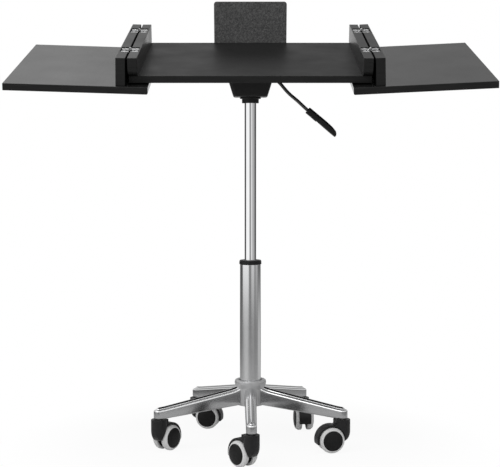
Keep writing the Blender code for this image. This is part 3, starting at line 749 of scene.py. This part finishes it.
def leg_side(x):
    """Half of a leg's section at x: roof, lip, ledge, shoulder, side and the hollow's roof."""
    reach = smooth_reach(x)
    swell = exp(-max(0.0, x - HUB_R) / FLARE_RUN)
    half = LEG_HALF_HUB + (LEG_END_R - LEG_HALF_HUB) * min(1.0, reach) + SIDE_FLARE * swell
    top = LEG_TOP_HUB + (LEG_TOP_END - LEG_TOP_HUB) * reach + TOP_FLARE * swell
    low = LEG_LOW_HUB + (LEG_LOW_END - LEG_LOW_HUB) * reach
    roof = top - SHOULDER_H - LEG_WALL
    inner = half - LEG_WALL
    points = rounded([(share * half, top - drop, soft) for share, drop, soft in LEG_ROOF], 4, closed=False)
    ledge, ledge_drop = LEG_ROOF[-1][0] * half, LEG_ROOF[-1][1]
    for k in range(1, 11):
        turn = pi / 2 * (1 - k / 10)
        drop = ledge_drop + (SHOULDER_H - ledge_drop) * (1 - sin(turn))
        points.append((ledge + (half - ledge) * cos(turn), top - drop))
    points += [(half, low + 0.0035), (half - 0.0001, low + 0.0012), (half - 0.0005, low + 0.0004)]
    points += [(half - 0.0012, low), (inner + 0.0004, low), (inner, low + 0.0004), (inner, roof - 0.0015)]
    points += [(inner - 0.0025, roof), (0.0, roof)]
    return points


def leg_mesh():
    """Channel leg along +x whose mouldings run round its end, with the castor's socket inside."""
    stations = [HUB_R + step for step in LEG_ROOT]
    far = LEG_R - stations[-1]
    stations += [stations[-1] + far * k / 14 for k in range(1, 15)]
    path = [(x, (0.0, 1.0)) for x in stations]
    turns = [pi * k / 20 for k in range(1, 20)]
    path += [(LEG_R, (sin(turn), cos(turn))) for turn in turns]
    path += [(x, (0.0, -1.0)) for x in reversed(stations)]
    verts = []
    for x, way in path:
        verts += [(x + way[0] * d, way[1] * d, z) for d, z in leg_side(x)]
    count = len(verts) // len(path)
    faces = []
    for k in range(len(path) - 1):
        for j in range(count - 1):
            a = k * count + j
            faces.append((a, a + 1, a + count + 1, a + count))
    shell = mesh_from(verts, faces, fill=True)
    low = LEG_LOW_END + 0.0006
    high = LEG_TOP_END - SHOULDER_H - LEG_WALL + 0.0004
    inner = STEM_R + 0.0006
    outer = LEG_END_R - LEG_WALL + 0.0001
    socket = lathe(((inner, low), (outer, low), (outer, high), (inner, high)), 48, ring=True)
    leg = merged([(shell, Matrix()), (socket, shift(LEG_R, 0.0, 0.0))])
    # The upward faces take the brighter chrome: painted highlight
    paint_lit_tops(leg, LIT_TOP_FROM)
    return leg


def on_column(name, mesh, look, body, slot, part):
    piece(name, mesh, (look,), COLUMN, body, slot, part)


def build_base():
    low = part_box("base_hub")[0].z
    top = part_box("base_hub")[1].z - COLLAR_DROP
    bore = TUBE_R + BORE_GAP
    hub = rounded((
        (bore, low), (HUB_R, low, 0.0016), (HUB_R, COLLAR_LOW - 0.006, 0.012),
        (COLLAR_R, COLLAR_LOW + 0.0035, 0.008), (COLLAR_R, top, 0.0062), (TUBE_R + 0.0042, top, 0.0014),
        (TUBE_R + 0.0026, top - 0.0065, 0.0008), (bore, top - 0.0065),
    ), 8)
    on_column("hub_casting", lathe(braced(hub), 128, ring=True), HUB_CHROME, "base", "chrome", "base_hub")
    mesh = leg_mesh()
    for i in CASTORS:
        spot = joint_at(f"castor_{i}_swivel") - COLUMN.translation
        place = COLUMN @ turned(atan2(spot.y, spot.x), "Z")
        piece(f"leg_channel_{i}", mesh, (LEG_SIDE_SHADED_CHROME, LEG_TOP_LIT_CHROME), place, "base", "chrome", f"base_leg_{i}")


def build_column():
    low, high = (corner.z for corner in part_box("column_tube"))
    rod_hole = AXLE_R * 2
    tube = rounded((
        (rod_hole, low), (TUBE_R, low, 0.001), (TUBE_R, high, 0.0006), (TUBE_BORE, high, 0.0006),
        (TUBE_BORE, low + CYL_FLOOR), (rod_hole, low + CYL_FLOOR),
    ), 4)
    on_column("outer_tube", lathe(braced(tube), 128, ring=True), TUBE_CHROME, "base", "chrome", "column_tube")
    low, high = (corner.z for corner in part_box("tube_bush"))
    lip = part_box("tube_bush")[1].x
    bore = CYL_R + 0.0006
    under = high - BUSH_HEAD_H
    bush = rounded((
        (bore, low), (BUSH_SLEEVE, low, 0.001), (BUSH_SLEEVE, under), (lip, under, 0.0006),
        (lip, high - 0.0034, 0.0005), (lip - 0.0006, high - 0.003), (lip - 0.0006, high, 0.0024),
        (bore + 0.0012, high, 0.0008), (bore, high - 0.002),
    ), 5)
    on_column("guide_bush", lathe(bush, 96, ring=True), HOOD_PLASTIC, "base", "black_plastic", "tube_bush")


# Castors

def hood_mesh(top):
    """Fender over both wheels, the web between them and the round boss."""
    wheel_z = AXLE.z
    side = rounded((
        (-BOSS_R, top, 0.0012), (BOSS_R, top, 0.0016), (BOSS_R, wheel_z + 0.0345, 0.002),
        (TRAIL - 0.0035, wheel_z + HOOD_OVER, 0.004),
    ), 4, closed=False)
    side += arc((TRAIL, wheel_z), HOOD_OVER, 92.0, -15.0, 22)
    side += [(TRAIL + x, wheel_z + z) for x, z in HOOD_BEHIND]
    side += [(x, wheel_z + z) for x, z in HOOD_FRONT]
    plan = arc((0.0, 0.0), BOSS_R, 50.4, 309.6, 28)
    far = TRAIL + HOOD_OVER + 0.004
    plan += [(far, -HOOD_HALF), (far, HOOD_HALF)]
    rooms = []
    for sign in (1.0, -1.0):
        ends = sorted((sign * HOOD_WEB, sign * 0.04))
        rooms.append(bar(WHEEL_ROOM, ends[0], ends[1], "y", 72, (TRAIL, 0.0, wheel_z)))
    shoulder = wheel_z + NOSE_FROM
    turns = np.linspace(0.0, 1.5, 16)
    nose = [(BOSS_R * cos(turn), shoulder - NOSE_DEEP * sin(turn)) for turn in turns]
    bullet = lathe([(BOSS_R, top + 0.02), *nose, (0.0, shoulder - NOSE_DEEP)], 72)
    bullet = combine(bullet, joins=(box(0.0, 0.1, -0.05, 0.05, -0.01, 0.12),))
    body = prism(side, -0.03, 0.03, "y")
    shell = combine(body, keeps=(prism(plan, -0.02, 0.12, "z"), bullet), cuts=rooms)
    return moulded(shell, *HOOD_SKIN)


def wheel_meshes():
    """Tyre and wheel body about z, with z away from the middle of the castor."""
    tyre = rounded((
        (TYRE_FOOT, 0.0072, 0.0006), (TREAD_FROM, 0.0066, 0.0010), (WHEEL_R, 0.0088, 0.0030),
        (WHEEL_R, 0.0157, 0.0060), (0.0266, 0.0206, 0.0030), (0.0246, 0.0219, 0.0008),
        (TYRE_FOOT, 0.0216, 0.0003),
    ), 6)
    bore = AXLE_R + BORE_GAP
    core = rounded((
        (0.0, WHEEL_FACE), (0.0110, WHEEL_FACE - 0.0005, 0.02), (0.0195, WHEEL_FACE - 0.0018, 0.004),
        (0.0199, WHEEL_FACE - 0.0023, 0.0003), (0.0206, WHEEL_FACE - 0.0022, 0.0004),
        (CORE_R, DISC_EDGE, 0.0009), (CORE_R, WHEEL_IN + 0.0012, 0.0004), (0.0200, WHEEL_IN + 0.0010, 0.0004),
        (0.0190, WHEEL_IN + 0.0022, 0.0004), (0.0080, WHEEL_IN + 0.0022, 0.0006), (0.0070, WHEEL_IN, 0.0006),
        (bore, WHEEL_IN), (bore, AXLE_HALF + 0.001), (0.0, AXLE_HALF + 0.001),
    ), 5, closed=False)
    return lathe(tyre, 96, ring=True), lathe(core, 96)


def build_castors():
    high = span("castor_1_hood", castor_frame(1))[1].z
    top = LEG_LOW_END - HOOD_BELOW_LEG
    hood = hood_mesh(top)
    low = top - 0.004
    stem = lathe(((0.0, low), (STEM_R, low), (STEM_R, high - 0.0012), (0.0042, high), (0.0, high)), 48)
    tyre, core = wheel_meshes()
    for i in CASTORS:
        name = f"castor_{i}"
        place = castor_frame(i)
        piece(f"{name}_fork", hood, (HOOD_PLASTIC,), place, name, "black_plastic", f"{name}_hood")
        piece(f"{name}_stem", stem, (ZINC,), place, name, "steel")
        for side, turn in (("a", -pi / 2), ("b", pi / 2)):
            centre = place @ shift(TRAIL, 0.0, AXLE.z) @ turned(turn, "X")
            roller = f"{name}_roller_{side}"
            piece(f"{name}_tyre_{side}", tyre, (TYRE,), centre, roller, "wheel", f"{name}_wheel_{side}")
            piece(f"{name}_disc_{side}", core, (DISC,), centre, roller, "black_plastic")


# Gas lift

def build_lift():
    low, high = (corner.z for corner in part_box("gas_cylinder"))
    floor = low + CYL_FLOOR
    valve = high - VALVE_DEEP
    bore_top = floor + CYL_BORE_LEN
    cylinder = rounded((
        (0.0, bore_top), (CYL_BORE, bore_top), (CYL_BORE, floor), (SEAL_R, floor),
        (SEAL_R, low), (CYL_R, low, 0.0012), (CYL_R, high - 0.003, 0.001), (CYL_R - 0.0015, high, 0.0005),
        (VALVE_R, high), (VALVE_R, valve), (0.0, valve),
    ), 4, closed=False)
    on_column("lift_tube", lathe(braced(cylinder), 128), ROD_CHROME, "lift", "chrome", "gas_cylinder")
    low, high = (corner.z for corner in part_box("cylinder_collar"))
    ring_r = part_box("cylinder_collar")[1].x
    bore = CYL_R + BORE_GAP
    ring_low = high - RING_H
    collar = rounded((
        (bore, low + 0.0008), (bore + 0.0008, low), (NECK_R, low, 0.001), (NECK_R, ring_low, 0.0008),
        (ring_r, ring_low + 0.0006, 0.0012), (ring_r, high, 0.0005), (bore, high),
    ), 5)
    mesh = lathe(collar, 96, ring=True)
    on_column("neck_collar", mesh, HOOD_PLASTIC, "lift", "black_plastic", "cylinder_collar")
    on_column("tilt_head", head_mesh(), PAINT, "lift", "black_paint", "lift_head")


def ear_outline(drop, half_foot):
    """Lug of a pivot: a round eye about the origin on a wider foot."""
    return [(half_foot, -drop), *arc((0.0, 0.0), EAR_R, 0.0, 180.0, 24), (-half_foot, -drop)]


def head_mesh():
    """Flared cup with a pocket, two ears for the tilt pin and a slot for the lever."""
    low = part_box("lift_head")[0].z
    high = low + HEAD_H
    sections = []
    for rise, inset in HEAD_FOOT:
        share = rise / HEAD_H
        wide = HEAD_HALF_LOW + (HEAD_HALF_TOP - HEAD_HALF_LOW) * share - inset
        deep = HEAD_DEEP_LOW + (HEAD_DEEP_TOP - HEAD_DEEP_LOW) * share - inset
        signs = ((1, 1), (-1, 1), (-1, -1), (1, -1))
        outline = rounded([(wide * x, deep * y, HEAD_CORNER) for x, y in signs], 8)
        sections.append([(x, y, low + rise) for x, y in outline])
    ears = []
    for sign in (1.0, -1.0):
        outline = [(y, PIVOT_Z + z) for y, z in ear_outline(PIVOT_Z - high + 0.010, EAR_FOOT)]
        ends = sorted((sign * EAR_IN, sign * EAR_OUT))
        ears.append(prism(outline, ends[0], ends[1], "x"))
    floor = low + POCKET[2]
    slot_low = LEVER.translation.z - SLOT_DROP
    cuts = (
        box(-POCKET[0], POCKET[0], -POCKET[1], POCKET[1], floor, high + 0.05),
        bar(CYL_R + BORE_GAP, low - 0.01, floor + 0.002),
        box(POCKET[0] - 0.003, EAR_OUT + 0.0018, -SLOT_HALF, SLOT_HALF, slot_low, high + 0.0032),
        box(EAR_OUT + 0.0008, 0.08, -SLOT_HALF, SLOT_HALF, slot_low, high + 0.03),
        bar(PIN_HOLE_R, -0.04, 0.04, "x", 40, (0.0, 0.0, PIVOT_Z)),
    )
    return moulded(combine(loft(sections), joins=ears, cuts=cuts), *HEAD_SKIN)


def smooth_path(points, steps):
    """Points of a smooth curve through the given ones, several to each stretch."""
    ends = [2 * Vector(points[0]) - Vector(points[1]), 2 * Vector(points[-1]) - Vector(points[-2])]
    knots = [ends[0], *map(Vector, points), ends[1]]
    made = []
    for a, b, c, d in zip(knots, knots[1:], knots[2:], knots[3:]):
        for k in range(steps):
            t = k / steps
            made.append(0.5 * (2 * b + (c - a) * t + (2 * a - 5 * b + 4 * c - d) * t * t
                               + (3 * b - a - 3 * c + d) * t ** 3))
    return [*made, Vector(points[-1])]


def rod_sweep(path, radius, steps):
    """Round bar along a path that lies in the x-z plane."""
    sections = []
    for k, point in enumerate(path):
        way = (path[min(k + 1, len(path) - 1)] - path[max(k - 1, 0)]).normalized()
        ring = []
        for i in range(steps):
            angle = tau * i / steps
            side = radius * cos(angle)
            ring.append((point.x - way.y * side, radius * sin(angle), point.y + way.x * side))
        sections.append(ring)
    return loft(sections, 60.0)


def handle_mesh():
    """Paddle grip along +x, thickness along z, broad side along y, with a rounded tip."""
    knots = [Vector(station) for station in HANDLE_STATIONS]
    sections = []
    for share, up, down, half in smooth_path(knots, 5):
        x = HANDLE_LEN * share
        middle = HANDLE_HALF * (up + down) / 2
        thick = HANDLE_HALF * (up - down) / 2
        ring = []
        for i in range(32):
            angle = tau * i / 32
            c, s = cos(angle), sin(angle)
            y = half * copysign(abs(c) ** HANDLE_SQUARE, c)
            z = middle + thick * copysign(abs(s) ** HANDLE_SQUARE, s)
            ring.append((x, y, z))
        sections.append(ring)
    return loft(sections, 50.0)


def build_lever():
    rod = rod_sweep(smooth_path(LEVER_BENDS, 5), LEVER_R, 28)
    piece("release_rod", rod, (ROD_PAINT,), LEVER, "lever", "black_paint", "lever_rod")
    grip = LEVER @ shift(HANDLE_FROM[0], 0.0, HANDLE_FROM[1]) @ turned(HANDLE_DIP, "Y")
    piece("release_grip", handle_mesh(), (GRIP_PLASTIC,), grip, "lever", "black_plastic", "lever_handle")


# Screws

def cross_cut(depth):
    """Two crossed blades that cut a driver's recess from z = 0 down."""
    long, wide, _ = SCREW_SLOT
    return (box(-long, long, -wide, wide, -depth, 0.01), box(-wide, wide, -long, long, -depth, 0.01))


def flat_screw():
    """Countersunk screw whose head lies just under z = 0."""
    profile = rounded((
        (0.0, -0.0001), (SCREW_HEAD_R, -0.00025, 0.0002), (SHANK_R, -SCREW_HEAD_H),
        (SHANK_R, -0.004), (0.0, -0.004),
    ), 3, closed=False)
    return combine(lathe(profile, 36), cuts=cross_cut(SCREW_SLOT[2]))


def pan_screw():
    """Screw with a domed head that stands on z = 0."""
    turns = np.linspace(0.0, pi / 2, 8)
    dome = [(PAN_HEAD_R * sin(turn), PAN_HEAD_H * cos(turn)) for turn in turns]
    profile = [(0.0, PAN_HEAD_H), *dome[1:], (PAN_HEAD_R, -0.0003), (0.0, -0.0003)]
    cutters = cross_cut(SCREW_SLOT[2])
    for cutter in cutters:
        cutter.transform(shift(0.0, 0.0, PAN_HEAD_H))
    return combine(lathe(profile, 36), cuts=cutters)


def screw_group(name, mesh, spots, look, matrix, body):
    """All screws of one kind on a body, each turned as it came to rest."""
    copies = [(mesh, spot @ turned(TURN_STEP * i, "Z")) for i, spot in enumerate(spots)]
    return piece(name, merged(copies), (look,), matrix, body, "steel")


# Tilting top

def mortises(hinge, centres, side):
    """Cutters for the hinge leaves to one side of a hinge axis at (u, w)."""
    ends = sorted((hinge[0], hinge[0] + side * (LEAF_REACH + MORTISE_ROOM)))
    half = LEAF_HALF + MORTISE_ROOM
    floor = hinge[1] + MORTISE_FLOOR
    return [box(ends[0], ends[1], v - half, v + half, floor, floor + 0.04) for v in centres]


def leaf_centres(side, leaf, matrix):
    """Where along v the two leaves of a side lie."""
    spans = [span(f"hinge_{side}_{spot}_{leaf}", matrix) for spot in ("near", "far")]
    return [(low.y + high.y) / 2 for low, high in spans]


def build_boards():
    low, high = span("centre_panel", TOP)
    panel = eased(box(low.x, high.x, low.y, high.y, low.z, high.z), BOARD_EDGE)
    paint_board(panel)
    piece("panel_board", panel, (END_BAND, NEAR_BAND, PANEL_FACE), TOP, "top", "black_board", "centre_panel")
    for side, sign in SIDES:
        build_inner_rail(side, sign)
        build_wing(side, sign)


def build_inner_rail(side, sign):
    """Rail on the panel whose near end overhangs it, with a curved underside there."""
    low, high = span(f"inner_rail_{side}", TOP)
    nose = high.z - NOSE_H
    turns = np.linspace(0.0, 0.47 * pi, 14)
    outline = [(low.y + NOSE_RUN * (1 - sin(t)), nose * (1 - cos(t))) for t in turns]
    outline += [(low.y, nose), (low.y, high.z), (high.y, high.z), (high.y, 0.0)]
    hinge = TOP.inverted() @ WINGS[side].translation
    cuts = mortises((hinge.x, hinge.z), leaf_centres(side, "fixed_leaf", TOP), -sign)
    rail = eased(combine(prism(outline, low.x, high.x, "x"), cuts=cuts), RAIL_EDGE, angle_deg=50.0)
    paint_board(rail, sign)
    piece(f"rail_inner_{side}", rail, RAIL_LOOKS, TOP, "top", "black_board", f"inner_rail_{side}")


def build_wing(side, sign):
    """Folding board and the rail on it, in a frame on the hinge axis."""
    place = WINGS[side]
    body = f"{side}_wing"
    low, high = span(f"wing_{side}", place)
    inner, outer = (low.x, high.x) if sign > 0 else (high.x, low.x)
    outline = rounded((
        (inner, low.z, INNER_CORNER), (outer, low.z), (outer, high.z), (inner, high.z),
    ), 8)
    board = eased(prism(outline, low.y, high.y, "y"), BOARD_EDGE)
    paint_board(board)
    looks = (END_BAND, NEAR_BAND, WING_FACE)
    piece(f"wing_board_{side}", board, looks, place, body, "black_board", f"wing_{side}")
    low, high = span(f"outer_rail_{side}", place)
    cuts = mortises((0.0, 0.0), leaf_centres(side, "wing_leaf", place), sign)
    rail = eased(combine(box(low.x, high.x, low.y, high.y, low.z + 0.0002, high.z), cuts=cuts), RAIL_EDGE)
    paint_board(rail, -sign)
    piece(f"rail_outer_{side}", rail, RAIL_LOOKS, place, body, "black_board", f"outer_rail_{side}")


def strap_foot(depth):
    """Where the strap, at a depth below its face, meets the middle of the plate."""
    slope = radians(STRAP_DEG)
    level = LEAF_TOP - LEAF_T / 2
    return (KNUCKLE_R - depth - level * sin(slope)) / cos(slope), level


def knuckle_mesh(low, high, strap):
    """Eye of a hinge, led to the plate on its +x side by a thin strap or a plain foot."""
    if strap:
        opening = degrees(acos((KNUCKLE_R - STRAP_T) / KNUCKLE_R))
        outline = arc((0.0, 0.0), KNUCKLE_R, STRAP_DEG, STRAP_DEG + 360.0 - opening, 30)
        outline += [strap_foot(STRAP_T), strap_foot(0.0)]
    else:
        foot = LEAF_TOP - LEAF_T / 2
        outline = arc((0.0, 0.0), KNUCKLE_R, 0.0, 270.0, 24)
        outline += [(LEAF_START + 0.0003, foot), (2 * LEAF_START, foot)]
    return prism(outline, low, high, "y")


def leaf_plate(cuts):
    """Sunk plate of a leaf along +x with a pressed band and the screws' seats."""
    corners = (
        (LEAF_START, -LEAF_HALF, 0.0006), (LEAF_REACH, -LEAF_HALF, LEAF_CORNER),
        (LEAF_REACH, LEAF_HALF, LEAF_CORNER), (LEAF_START, LEAF_HALF, 0.0006),
    )
    plate = prism(rounded(corners), LEAF_TOP - LEAF_T, LEAF_TOP, "z")
    floor = LEAF_TOP - BAND_DEEP
    cuts = [*cuts, box(0.0, 0.03, -BAND_HALF, BAND_HALF, floor, floor + 0.01)]
    seat = lathe(((SCREW_HEAD_R + 0.0004, 0.001), (SCREW_HEAD_R + 0.0002, -0.0002), (0.0016, -0.0026)), 36)
    for x, y in LEAF_SCREWS:
        sunk = seat.copy()
        sunk.transform(shift(x, y, leaf_level(y)))
        cuts.append(sunk)
    return combine(plate, cuts=cuts)


def leaf_level(y):
    """Height of a leaf's face, which is lower in the pressed band."""
    return LEAF_TOP - (BAND_DEEP if abs(y) < BAND_HALF else 0.0)


def leaf_mesh(sign, strap):
    """Hinge leaf along +x with an eye to one side of its middle, on a strap or on a plain foot."""
    low, high = sorted((sign * KNUCKLE_GAP / 2, sign * BARREL_LEN / 2))
    cuts = []
    if strap:
        edge = strap_foot(STRAP_T)[0] - 0.0005
        ends = (low - KNUCKLE_GAP, high + KNUCKLE_GAP)
        cuts.append(box(0.0, edge, *ends, LEAF_TOP - 0.01, LEAF_TOP + 0.0005))
    eye = combine(knuckle_mesh(low, high, strap), cuts=(bar(KNUCKLE_BORE, -0.05, 0.05, "y", 32),))
    leaf = eased(combine(leaf_plate(cuts), joins=(eye,)), 0.0002, 2, 50.0)
    for face in leaf.polygons:
        x, y, z = face.center
        # Faces on the floor of the pressed band take the almost black zinc, which is painted shade
        pressed = abs(y) < BAND_HALF and z < LEAF_TOP - BAND_DEEP / 2 and face.normal.z > FACING
        # Raised faces take the brighter zinc, which is partly painted highlight
        raised_lit = z > LEAF_TOP + 0.0002
        face.material_index = 1 if pressed and x > LEAF_START + 0.002 else 2 if raised_lit else 0
    return leaf


def build_hinges():
    flat = flat_screw()
    top_screws = []
    for side, sign in SIDES:
        place = WINGS[side]
        fixed = leaf_mesh(sign, True)
        moving = leaf_mesh(sign, False)
        wing_screws = []
        wing = f"{side}_wing"
        out = Matrix() if sign > 0 else turned(pi, "Z")
        back = turned(pi, "Z") @ out
        axis = TOP.inverted() @ place.translation
        on_rails = leaf_centres(side, "fixed_leaf", TOP), leaf_centres(side, "wing_leaf", place)
        for spot, top_v, wing_v in zip(("near", "far"), *on_rails):
            on_top = shift(axis.x, top_v, axis.z) @ back
            on_wing = shift(0.0, wing_v, 0.0) @ out
            hinge = f"hinge_{side}_{spot}"
            leaves = (f"{hinge}_fixed_leaf", f"{hinge}_wing_leaf")
            piece(f"{hinge}_plate_top", fixed, LEAF_LOOKS, TOP @ on_top, "top", "steel", leaves[0])
            piece(f"{hinge}_plate_wing", moving, LEAF_LOOKS, place @ on_wing, wing, "steel", leaves[1])
            for x, y in LEAF_SCREWS:
                seat = shift(x, y, leaf_level(y))
                top_screws.append(on_top @ seat)
                wing_screws.append(on_wing @ seat)
        screw_group(f"hinge_screws_{side}_wing", flat, wing_screws, OXIDE, place, wing)
    screw_group("hinge_screws_top", flat, top_screws, OXIDE, TOP, "top")


def build_rear_plate():
    low, high = span("rear_plate", TOP)
    outline = rounded((
        (low.x, low.z, 0.002), (high.x, low.z, 0.002), (high.x, high.z, PLATE_CORNER),
        (low.x, high.z, PLATE_CORNER),
    ), 10)
    plate = eased(prism(outline, low.y, high.y, "y"), PLATE_EDGE)
    piece("rear_stop", plate, (SHEET,), TOP, "top", "rear_sheet", "rear_plate")
    level = low.z + PLATE_SCREW_UP
    spots = [shift(u, high.y, level) @ turned(-pi / 2, "X") for u in PLATE_SCREWS]
    low, high = span("tilt_bracket", TOP)
    plate_low = span("centre_panel", TOP)[0].z - BRACKET_T
    for u in (low.x + BRACKET_SCREW_IN, high.x - BRACKET_SCREW_IN):
        for v in (low.y + BRACKET_SCREW_IN, high.y - BRACKET_SCREW_IN):
            spots.append(shift(u, v, plate_low) @ turned(pi, "X"))
    screw_group("fixing_screws", pan_screw(), spots, ZINC, TOP, "top")


# CAD nodes that keep their shape

def finish_nodes():
    """Pins, axles and the lift's inner pieces keep their solids, with soft edges."""
    kept = ["piston_rod", "thrust_bearing", "retaining_clip", "valve_button", "tilt_pin", "lever_pin"]
    kept += [f"castor_{i}_axle" for i in CASTORS]
    kept += [f"hinge_{side}_{spot}_pin" for side, _ in SIDES for spot in ("near", "far")]
    for name in (*kept, "tilt_bracket"):
        look, width = (PAINT, 0.0006) if name == "tilt_bracket" else (ZINC, 0.0003)
        item = frame["nodes"][name]
        item.data.materials.clear()
        item.data.materials.append(look)
        weld = item.modifiers.new("weld", "WELD")
        weld.merge_threshold = 0.00001
        bevel_edges(item, width, 2, 50.0)


# Stage

FLOOR_R = 0.62

# Rings of cards that metal sees, from low to high: the sines of elevation between which a ring takes over
# from the one below, then bearings in degrees from the camera, left negative, with their brightness
LOW_CARDS = (
    (-180, 0.5), (-128, 0.44), (-75, 0.5), (-47, 0.62), (-15, 0.5), (25, 0.38), (65, 0.38), (128, 0.5),
    (180, 0.5),
)
CARD_RINGS = (
    ((-0.200, -0.165), (
        (-180, 0.30), (-165, 0.16), (-125, 0.16), (-90, 0.26), (-62, 0.44), (-34, 0.44), (-14, 0.26),
        (6, 0.21), (30, 0.26), (50, 0.21), (84, 0.24), (100, 0.56), (124, 0.56), (150, 0.26), (180, 0.30),
    )),
    ((-0.145, -0.090), (
        (-180, 0.95), (-156, 0.95), (-148, 0.07), (-96, 0.07), (-88, 1.0), (-20, 1.0), (-14, 0.26), (6, 0.26),
        (13, 0.74), (38, 0.74), (46, 0.34), (58, 0.34), (65, 0.50), (82, 0.50), (92, 0.08), (148, 0.08),
        (156, 0.95), (180, 0.95),
    )),
    ((0.10, 0.20), (
        (-180, 0.30), (-150, 0.30), (-138, 0.85), (-40, 1.0), (0, 1.0), (40, 0.95), (138, 0.9), (150, 0.26),
        (180, 0.30),
    )),
    ((0.38, 0.50), (
        (-180, 0.6), (-172, 0.98), (-150, 1.0), (-110, 0.8), (-40, 1.0), (0, 1.0), (40, 0.9), (110, 0.5),
        (150, 0.45), (172, 0.47), (180, 0.6),
    )),
    ((0.68, 0.86), ((-180, 0.015), (-105, 0.015), (-65, 0.65), (65, 0.65), (105, 0.015), (180, 0.015))),
)
LIGHT_SHARE = 0.85

# The floor turns white for metal and for the camera between these distances from the middle
METAL_FADE = (0.54, 0.61)
CAMERA_FADE = (0.36, 0.60)
NEAR_WHITE = 0.92
WHITE = (1.0, 1.0, 1.0, 1.0)

# Name, place, aim, width, height and watts
LAMPS = (
    ("key_box", (-1.7, -1.7, 2.5), (0.0, 0.0, 0.6), 2.6, 1.9, 26.0),
    ("top_box", (0.1, -0.5, 3.0), (0.0, 0.0, 0.3), 3.6, 1.3, 26.0),
)


def floor_material():
    """Pale floor that reads as the white backdrop and keeps the cart's soft shadow."""
    made = bpy.data.materials.new("studio_floor")
    made.use_nodes = True
    tree = made.node_tree
    tree.nodes.clear()
    colour = colours(tree, noise(tree, 60.0, 3.0), (0.3, 0.86), (0.7, 0.90))
    lit = node(tree, "BsdfDiffuse", {"Color": colour}).outputs[0]
    white = node(tree, "Emission", {"Color": WHITE, "Strength": 1.0}).outputs[0]
    away = node(tree, "VectorMath", {0: here(tree)}, operation="LENGTH").outputs["Value"]
    path = node(tree, "LightPath").outputs
    metal = calc(tree, "ADD", path["Is Glossy Ray"], path["Is Transmission Ray"])
    in_metal = calc(tree, "MULTIPLY", metal, between(tree, away, 0.0, 1.0, *METAL_FADE))
    near = between(tree, away, NEAR_WHITE, 1.0, *CAMERA_FADE)
    in_view = calc(tree, "MULTIPLY", path["Is Camera Ray"], near)
    lift = calc(tree, "MAXIMUM", in_view, in_metal)
    blend = node(tree, "MixShader", {0: lift, 1: lit, 2: white}).outputs[0]
    output = node(tree, "OutputMaterial")
    tree.links.new(blend, output.inputs["Surface"])
    return made


def build_floor():
    turns = [tau * i / 96 for i in range(96)]
    rim = [(FLOOR_R * cos(turn), FLOOR_R * sin(turn), 0.0) for turn in turns]
    mesh = mesh_from(rim, [tuple(range(len(rim)))])
    mesh.materials.append(floor_material())
    floor = placed("studio_floor", mesh)
    floor.location.z = -0.0004


def card_ramp(tree, bearing, cards):
    return colours(tree, bearing, *[((turn + 180.0) / 360.0, float(level)) for turn, level in cards])


def blended(tree, share, first, second):
    """Colour between two, each a socket or a colour."""
    made = node(tree, "Mix", {0: share, 6: first, 7: second}, data_type="RGBA")
    return made.outputs[2]


def build_world():
    """White studio with rings of bright and dark cards round the cart for the metal."""
    world = bpy.data.worlds.new("studio")
    bpy.context.scene.world = world
    world.use_nodes = True
    tree = world.node_tree
    tree.nodes.clear()
    way = node(tree, "SeparateXYZ", {"Vector": node(tree, "TexCoord").outputs["Generated"]}).outputs
    turn = calc(tree, "ARCTAN2", way["X"], calc(tree, "MULTIPLY", way["Y"], -1.0))
    bearing = between(tree, turn, 0.0, 1.0, -pi, pi)
    around = card_ramp(tree, bearing, LOW_CARDS)
    for levels, cards in CARD_RINGS:
        share = between(tree, way["Z"], 0.0, 1.0, *levels)
        around = blended(tree, share, around, card_ramp(tree, bearing, cards))
    path = node(tree, "LightPath").outputs
    through = calc(tree, "MAXIMUM", path["Is Camera Ray"], path["Is Transmission Ray"])
    backdrop = blended(tree, through, around, WHITE)
    seen = calc(tree, "MAXIMUM", through, path["Is Glossy Ray"])
    strength = between(tree, seen, LIGHT_SHARE, 1.0, 0.0, 1.0)
    light = node(tree, "Background", {"Color": backdrop, "Strength": strength})
    output = node(tree, "OutputWorld")
    tree.links.new(light.outputs[0], output.inputs["Surface"])


def build_lights():
    for name, place, aim, width, height, watts in LAMPS:
        lamp = bpy.data.lights.new(name, "AREA")
        lamp.shape = "RECTANGLE"
        lamp.size = width
        lamp.size_y = height
        lamp.energy = watts
        item = placed(name, lamp)
        item.location = place
        item.rotation_euler = (Vector(aim) - Vector(place)).to_track_quat("-Z", "Y").to_euler()


def build_camera():
    data = bpy.data.cameras.new("camera")
    data.lens = CAMERA_LENS
    camera = placed("camera", data)
    camera.location = (CAMERA_X, COLUMN.translation.y - CAMERA_AWAY, CAMERA_Z)
    camera.rotation_euler = (radians(90.0 - CAMERA_PITCH_DEG), 0.0, 0.0)
    bpy.context.scene.camera = camera


bpy.context.scene.view_settings.view_transform = "Standard"
build_camera()
build_base()
build_column()
build_castors()
build_lift()
build_lever()
build_boards()
build_hinges()
build_rear_plate()
finish_nodes()
build_floor()
build_world()
build_lights()
